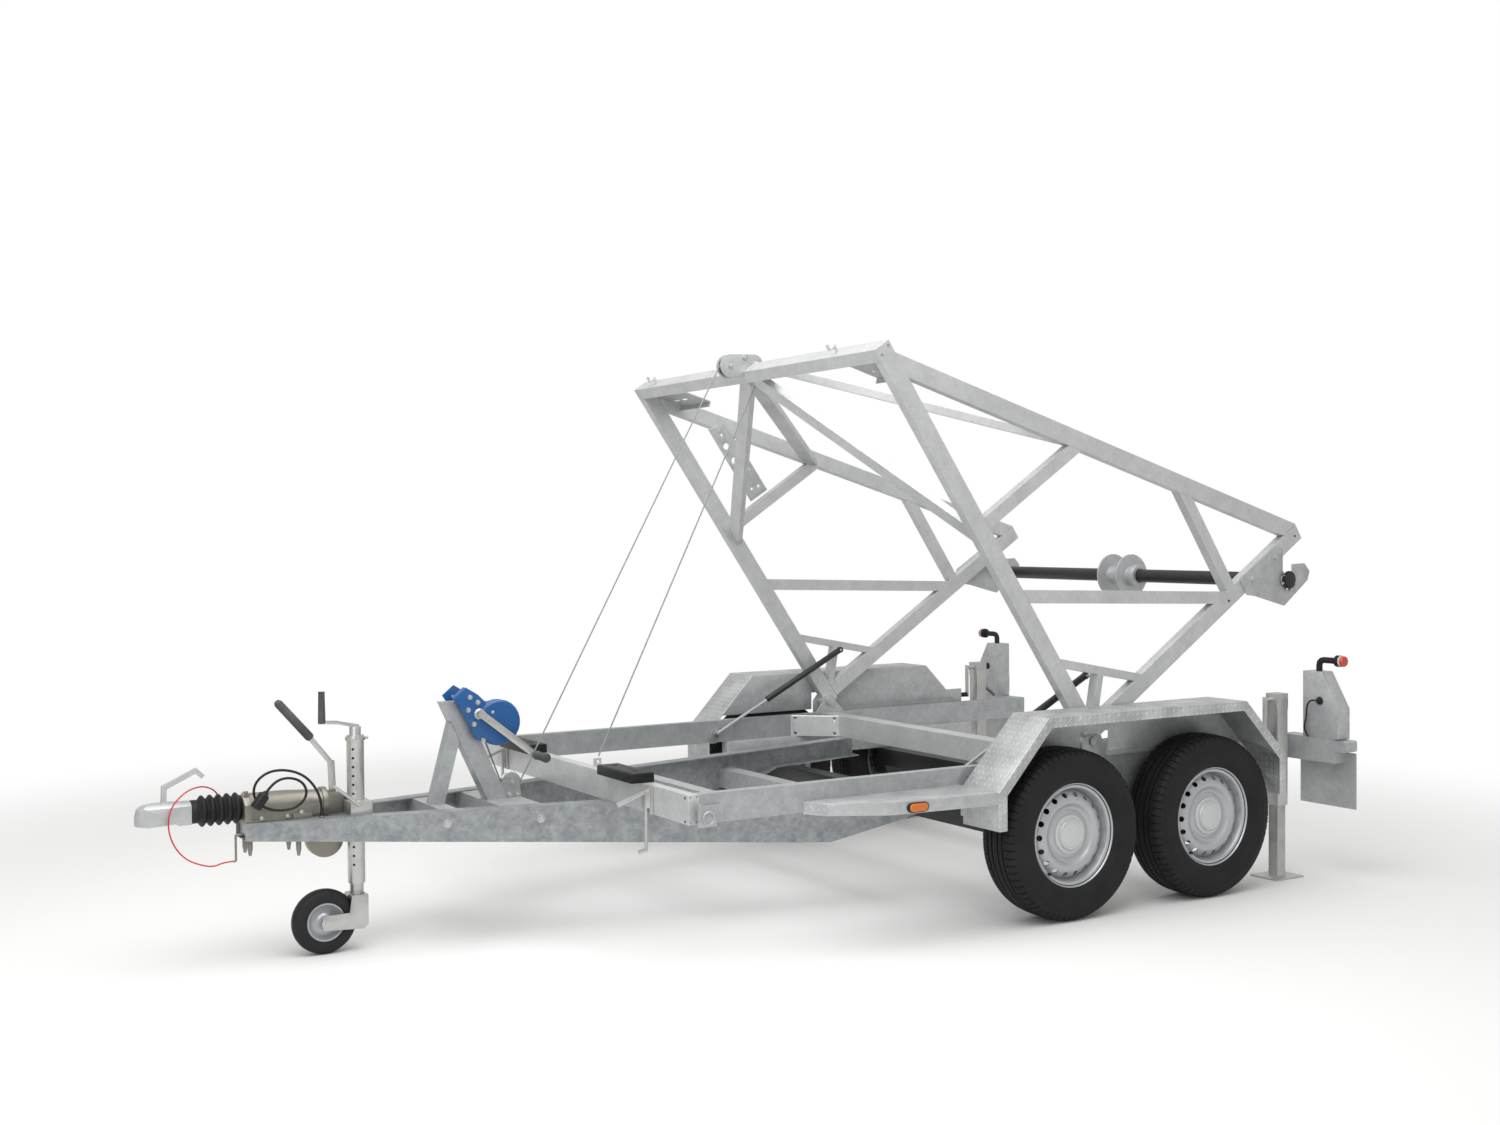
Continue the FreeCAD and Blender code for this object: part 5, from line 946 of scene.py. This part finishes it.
class TRAILER_OT_cords(bpy.types.Operator):
    """Electric cable with its plug, looped beside the overrun device, and the red breakaway cable"""

    bl_idname = "trailer.cords"
    bl_label = "Cords"

    def execute(self, context):
        plug = stand_for("cable_plug", "plastic", 0.0015, 35)
        cable = self.line("trailer_cable", CABLE_ROUTE, 0.0045, "plastic", "black_rubber")
        breakaway = self.line("breakaway_cable", BREAKAWAY_ROUTE, 0.0025, "red_cable", "red_cable")
        boot = turned([(0, 0), (0, 8.6), (5, 8.6), (8, 7.4), (12, 7.4), (13, 6.4), (17, 6.4), (18, 5.6),
                       (26, 5.2), (27, 0)], CABLE_ROUTE[0], (0, 0, 1), 24, closed=False)
        dress(boot, "cable_boot", "chassis", "plastic")
        return {"FINISHED"}

    def line(self, node, route, radius, look, slot):
        """One smooth open curve through a route's control points, in place of the node."""
        piece = curve_along(f"{node}_dressed", route, radius, 3, 3, 12)
        piece.data.materials.append(finish(look))
        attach(piece, "chassis")
        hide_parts(node)
        return piece


class TRAILER_OT_ropes(bpy.types.Operator):
    """Wire ropes from the winch over its lower pulley to the top beam and back"""

    bl_idname = "trailer.ropes"
    bl_label = "Ropes"

    def execute(self, context):
        low_pulley = at(-1772, 0, 527)
        low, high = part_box("top_pulley_sheave")
        take_up = self.tangent(WINCH_DRUM, ON_DRUM, low_pulley, ON_LOW_PULLEY, False)
        lift = self.tangent(low_pulley, ON_LOW_PULLEY, (low + high) / 2, ON_TOP_PULLEY, True)
        back = (at(-1462, -110, 612), at(-676, -5, 2084))
        dress(self.rope(*take_up), "winch_rope", "chassis", "rope", 60, "lift_ropes")
        for name, ends in (("lift_rope", lift), ("return_rope", back)):
            piece = finished(self.rope(*ends), name, "rope", 60)
            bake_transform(piece)
        return {"FINISHED"}

    def tangent(self, first, first_r, second, second_r, crossed):
        """Ends of a rope that leaves one round at its rear side and meets the next one."""
        between = second - first
        sign = -1 if crossed else 1
        slant = (first_r - sign * second_r) / between.length
        along = between.normalized()
        normal = Vector((along.z, 0, -along.x)) * math.sqrt(1 - slant * slant) + along * slant
        return first + normal * first_r, second + normal * (sign * second_r)


    def rope(self, start, end):
        return tube([start.lerp(end, number / 24) for number in range(25)], ROPE_R, 3, 2)


# Winch

class TRAILER_OT_winch(bpy.types.Operator):
    """Geared hand winch: blue case with bolts and gear shafts, wound rope, and the crank with its grip"""

    bl_idname = "trailer.winch"
    bl_label = "Winch"

    def execute(self, context):
        low = at(0, -39, 0).y
        high = at(0, 51, 0).y

        def on_drum(centre):
            away = math.hypot(centre.x - WINCH_DRUM.x, centre.z - WINCH_DRUM.z)
            return low < centre.y < high and away < 0.049

        def on_bar(centre):
            return low < centre.y < high and not on_drum(centre)

        stand_for("winch_body", "blue", 0.0025, 35, [("rope", on_drum), ("zinc_dull", on_bar)])
        grip_y = at(0, -111, 0).y
        stand_for("winch_crank", "fitting", 0.0012, 40, [("grip", lambda c: c.y < grip_y)])
        face = -72
        spots = [(-1955, 858), (-1962, 812), (-1925, 838), (-1870, 800), (-1905, 700), (-1940, 760)]
        places = [(at(x, face, z), (0, -1, 0)) for x, z in spots]
        bolted("winch_bolts", "chassis", places, 0.012)
        boss = turned([(0, 0), (0, 20), (3, 20), (5, 17), (9, 17), (10, 15), (30, 15), (30, 0)],
                      at(-1920, face, 796), (0, -1, 0), 32, closed=False)
        dress(boss, "winch_shaft_boss", "chassis", "fitting")
        return {"FINISHED"}


# Coupling and drawbar fittings

class TRAILER_OT_coupling(bpy.types.Operator):
    """Ribbed rubber bellows and the nuts of the overrun device"""

    bl_idname = "trailer.coupling"
    bl_label = "Coupling"

    def execute(self, context):
        length = 168
        pitch = length / 6
        profile = [(0, 0), (0, 37), (3, 39.5), (pitch * 0.72, 39.5), (pitch * 0.8, 38)]
        for rib in range(5):
            start = pitch * (0.9 + rib)
            for share, out in ((0.12, 42), (0.24, 47), (0.36, 51.2), (0.44, 52.8), (0.5, 53.2), (0.56, 52.8),
                               (0.64, 51.2), (0.76, 47), (0.88, 42.6), (1.0, 40.6)):
                profile.append((start + pitch * share, out))
        profile += [(length - 1, 42), (length, 42), (length, 0)]
        bellows = turned(profile, at(-2925, 0, 524), (1, 0, 0), 64, closed=False)
        dress(bellows, "bellows_dressed", "chassis", "black", 50, "coupling_bellows")
        nuts = [(at(-2735, 34, 562), (0, 0, 1))]
        nuts += [(at(x, y, 486), (0, 0, 1)) for x in (-2700, -2612) for y in (-56, 56)]
        nuts += [(at(-2565, y, 496), (0, 0, 1)) for y in (-58, 58)]
        bolted("housing_nuts", "chassis", nuts, 0.017)
        return {"FINISHED"}


def spoke(angle, length):
    """A vector in the side view's plane, at an angle from rearward to upward."""
    return Vector((math.cos(angle), 0, math.sin(angle))) * length


def capsule(first, first_r, second, second_r, steps=14):
    """Outline in a plane of constant y round two circles."""
    way = second - first
    turn = math.atan2(way.z, way.x)
    points = []
    for centre, radius, start in ((first, first_r, turn + math.pi / 2), (second, second_r, turn - math.pi / 2)):
        for number in range(steps + 1):
            points.append(centre + spoke(start + math.pi * number / steps, radius))
    return points


class TRAILER_OT_frame_fittings(bpy.types.Operator):
    """Top pulley cheeks, bolts, dark discs of painted shade at the vent holes, lashing plates, and details of
    the jockey sleeve and the spindle
    """

    bl_idname = "trailer.frame_fittings"
    bl_label = "Frame fittings"

    def execute(self, context):
        self.top_pulley()
        self.bolts(context.scene.trailer_fittings.bolt_size)
        self.vent_hole_shade_discs()
        self.lashing_plates()
        self.jockey_sleeve()
        # close the gap below the fenders' inner walls, 5 mm from the tyres
        strips = [slab(at(262, sign * 936.3, 572), at(1105, sign * 937, 640), 0) for sign in (-1, 1)]
        dress(joined(strips), "fender_inner_strips", "chassis", "zinc_dull")
        self.spindle_ends()
        return {"FINISHED"}

    def top_pulley(self):
        """Two level cheeks round the sheave and the pulley behind it, with their bolts."""
        sheave = Vector((-0.015, 0, 2.112))
        second = Vector((0.095, 0, 2.124))
        plates = []
        for sign in (-1, 1):
            outline = [p + Vector((0, sign * 0.012, 0)) for p in capsule(sheave, 0.047, second, 0.04)]
            plates.append(outline_plate(outline, (0, sign * 0.006, 0), 0.0012))
        dress(joined(plates), "top_pulley_cheeks_dressed", "tilt_frame", "zinc_dull",
              node="top_pulley_cheeks")
        places = [(p + Vector((0, sign * 0.018, 0)), (0, sign, 0)) for sign in (-1, 1)
                  for p in (sheave, Vector((0.05, 0, 2.148)), Vector((0.084, 0, 2.108)))]
        bolted("top_pulley_bolts", "tilt_frame", places, 0.016)

    def bolts(self, size):
        places = [(at(x, sign * y, z), (-0.215, sign * 0.977, 0))
                  for x, y, z in ((-2097, 211.2, 434), (-1773, 282.5, 431.5)) for sign in (-1, 1)]
        bolted("drawbar_bolts", "chassis", places, size)
        places = [(at(x, -18, z), (0, -1, 0)) for x, z in ((-1782, 481), (-1748, 479), (-1772, 527))]
        bolted("pulley_bracket_bolts", "chassis", places, 0.016)

    def vent_hole_shade_discs(self):
        """Dark discs at the vent holes of the galvanised tubes and the front beam: painted shade for the holes'
        insides.
        """
        holes = [drum(at(x, sign * 929, z), at(x, sign * 930.4, z), 0.0052, 0, 20)
                 for sign in (-1, 1) for x, z in ((1407, 1417), (1010, 1154))]
        dress(joined(holes), "vent_hole_shade_discs", "tilt_frame", "plastic")
        holes = [drum(at(-1521.5, y, z), at(-1522.4, y, z), 0.005, 0, 20)
                 for y in (-888, 888) for z in (487, 566)]
        dress(joined(holes), "beam_vent_hole_shade_discs", "chassis", "plastic")

    def lashing_plates(self):
        """Plates at the front beam's ends with a round eye in a bead."""
        plates = []
        rings = []
        for sign in (-1, 1):
            outline = [at(x, sign * 932, z) for x, z in (
                (-1500, 546), (-1490, 552), (-1436, 512), (-1430, 500), (-1430, 472), (-1500, 472))]
            plates.append(outline_plate(outline, (0, sign * 0.012, 0)))
            bead = [(6 * math.sin(a), 21 + 5.5 * math.cos(a)) for a in (math.tau * n / 12 for n in range(12))]
            rings.append(turned(bead, at(-1462, sign * 944, 500), steps=40))
            rings.append(drum(at(-1462, sign * 943, 500), at(-1462, sign * 945, 500), 0.016, 0.0004, 32))
        # The plates and rings take the darker copy of the zinc: painted shade low on the beam's ends
        dress(joined(plates), "lashing_plates", "chassis", "zinc_mid")
        dress(joined(rings), "lashing_rings", "chassis", "zinc_mid", 60)

    def jockey_sleeve(self):
        """Dark discs at the sleeve's slots, painted shade for their insides, and the lever of its clamp."""
        out = Vector((-0.55, -0.835, 0)).normalized()
        slots = []
        for z in (300, 331, 362, 393, 424, 548, 579, 610, 641, 672, 703):
            centre = at(-2373, -50, z)
            slots.append(drum(centre + out * 0.0285, centre + out * 0.0305, 0.0045, 0, 16))
        dress(joined(slots), "jockey_sleeve_slot_shade_discs", "chassis", "plastic")
        clamp = drum(at(-2478, -142, 592), at(-2385, -141, 515), 0.0055, 0.001, 16)
        dress(clamp, "jockey_clamp_lever", "chassis", "fitting")

    def spindle_ends(self):
        """Collars outside the hooks with their lugs, and the linch pins with their rings."""
        collars = []
        lugs = []
        for sign in SIDES.values():
            centre = at(1355, sign * 944, 1233)
            collars.append(turned([(-3, 30.2), (-3, 38), (3, 38), (3, 30.2)], centre, steps=48))
            for angle in (200, 250, 290, 340):
                lug = [centre + spoke(math.radians(angle), length) for length in (0.036, 0.046)]
                lugs.append(drum(*lug, 0.0045, 0.0008, 16))
            eye = centre + Vector((-0.034, sign * 0.002, 0.004))
            ring = [eye + spoke(math.tau * n / 18, 0.016) for n in range(18)]
            lugs.append(tube([*ring, ring[0]], 0.0016, 3, 3))
            lugs.append(tube([centre + Vector((-0.042, 0, 0.040)), centre + Vector((-0.020, 0, 0.016))],
                             0.0025, 2, 2))
        dress(joined(collars), "spindle_collars", "spindle", "black_steel")
        dress(joined(lugs), "spindle_linch_pins", "spindle", "fitting", 50)


# Lamps

class TRAILER_OT_lamps(bpy.types.Operator):
    """Side marker lamps, tail lamps and the lamps at the ends of the rubber arms, with cable and grommet"""

    bl_idname = "trailer.lamps"
    bl_label = "Lamps"

    def execute(self, context):
        for side, sign in SIDES.items():
            self.side_lamp(side, sign)
            self.tail_lamp(side, sign)
            self.end_lamp(side, sign)
            self.harness(side, sign)
        return {"FINISHED"}

    def side_lamp(self, side, sign):
        centre = at(-723, sign * 1101, 493)
        for name, look, slot, half, height, depth, edge in (
            ("base", "plastic", "black_rubber", 0.027, 0.0175, 0.016, 0.002),
            ("lens", "amber", "lamp_lens", 0.025, 0.0145, 0.021, 0.005),
        ):
            end = Vector((half, 0, 0))
            outline = capsule(centre - end, height, centre + end, height)
            piece = outline_plate(outline, (0, sign * depth, 0), edge, 3)
            dress(piece, f"side_lamp_{name}_{side}", "chassis", look)

    def tail_lamp(self, side, sign):
        housing = slab(at(1465, sign * 1000, 592), at(1474, sign * 1148, 694), 0.004)
        dress(housing, f"tail_lamp_base_{side}", "chassis", "plastic")
        for label, look, inner, outer in (
            ("stop", "red", 1005.92, 1088.8), ("turn", "amber", 1091.76, 1142.08),
        ):
            glass = slab(at(1472, sign * inner, 597), at(1487, sign * outer, 689), 0.006, 3)
            dress(glass, f"tail_lamp_{label}_{side}", "chassis", look)

    def end_lamp(self, side, sign):
        """Lamp on a rubber arm; the left one's outer lens stands in for the node with the lamps."""
        for name, look, slot, profile in (
            ("base", "black", "black_rubber", [(0, 0), (0, 15), (6, 24), (24, 24), (24, 0)]),
            ("inner", "white_lens", "lamp_lens", [(22, 0), (22, 22.5), (34, 22.5), (34, 0)]),
            ("outer", "orange", "lamp_lens",
             [(33.5, 0), (33.5, 22.7), (41, 22.5), (45, 20), (47, 14), (48, 0)]),
        ):
            piece = turned(profile, at(1428, sign * 1124, 900), (0, sign, 0), 40, closed=False)
            dress(piece, f"end_lamp_{name}_{side}", "chassis", look,
                  node="lamps" if (name, side) == ("outer", "left") else None)

    def harness(self, side, sign):
        """Grommet in the box's front face, with its cable clipped along the face down to the beam."""
        face = at(1392, 0, 0).x
        y = sign * 1.073
        grommet = turned([(0, 0), (0, 15), (3, 17), (7, 15), (9, 9), (16, 6), (17, 0)],
                         (face, y, 0.733), (-1, 0, 0), 32, closed=False)
        dress(grommet, f"lamp_grommet_{side}", "chassis", "black")
        foot = -sign * 0.055
        line = tube([(face - 0.012 + back, y + along, z) for back, along, z in (
            (0, 0, 0.733), (-0.010, 0.014, 0.737), (-0.006, 0.042, 0.728), (0, 0.060, 0.70),
            (0.003, 0.062, 0.66), (0.005, 0.055 + foot * 0.4, 0.62), (0.006, foot + 0.012, 0.592),
            (0.006, foot, 0.579),
        )], 0.0035)
        dress(line, f"lamp_wiring_{side}", "chassis", "plastic", 60)


PIECE_GROUPS = (
    TRAILER_OT_stage,
    TRAILER_OT_cords,
    TRAILER_OT_finishes,
    TRAILER_OT_fittings,
    TRAILER_OT_tyres,
    TRAILER_OT_wheels,
    TRAILER_OT_jockey_wheel,
    TRAILER_OT_tread_plate,
    TRAILER_OT_ropes,
    TRAILER_OT_winch,
    TRAILER_OT_coupling,
    TRAILER_OT_frame_fittings,
    TRAILER_OT_lamps,
)


SETTINGS = {"trailer_stage": StageSettings, "trailer_tyres": TyreSettings, "trailer_fittings": FittingSettings}


class TRAILER_PT_panel(bpy.types.Panel):
    bl_label = "Cable drum trailer"
    bl_idname = "TRAILER_PT_panel"
    bl_space_type = "VIEW_3D"
    bl_region_type = "UI"
    bl_category = "Trailer"

    def draw(self, context):
        for group in SETTINGS:
            settings = getattr(context.scene, group)
            for name in settings.bl_rna.properties.keys():
                if name not in ("rna_type", "name"):
                    self.layout.prop(settings, name)
        for group in PIECE_GROUPS:
            self.layout.operator(group.bl_idname)


CLASSES = (*SETTINGS.values(), *PIECE_GROUPS, TRAILER_PT_panel)


def register():
    for each in CLASSES:
        bpy.utils.register_class(each)
    for name, kind in SETTINGS.items():
        setattr(bpy.types.Scene, name, PointerProperty(type=kind))


def unregister():
    for name in SETTINGS:
        delattr(bpy.types.Scene, name)
    for each in reversed(CLASSES):
        bpy.utils.unregister_class(each)


def main():
    register()
    bpy.ops.trailer.stage()
    bpy.ops.trailer.cords()
    bpy.ops.trailer.finishes()
    bpy.ops.trailer.fittings()
    bpy.ops.trailer.tyres()
    bpy.ops.trailer.wheels()
    bpy.ops.trailer.jockey_wheel()
    bpy.ops.trailer.tread_plate()
    bpy.ops.trailer.ropes()
    bpy.ops.trailer.winch()
    bpy.ops.trailer.coupling()
    bpy.ops.trailer.frame_fittings()
    bpy.ops.trailer.lamps()


if __name__ == "__main__":
    main()
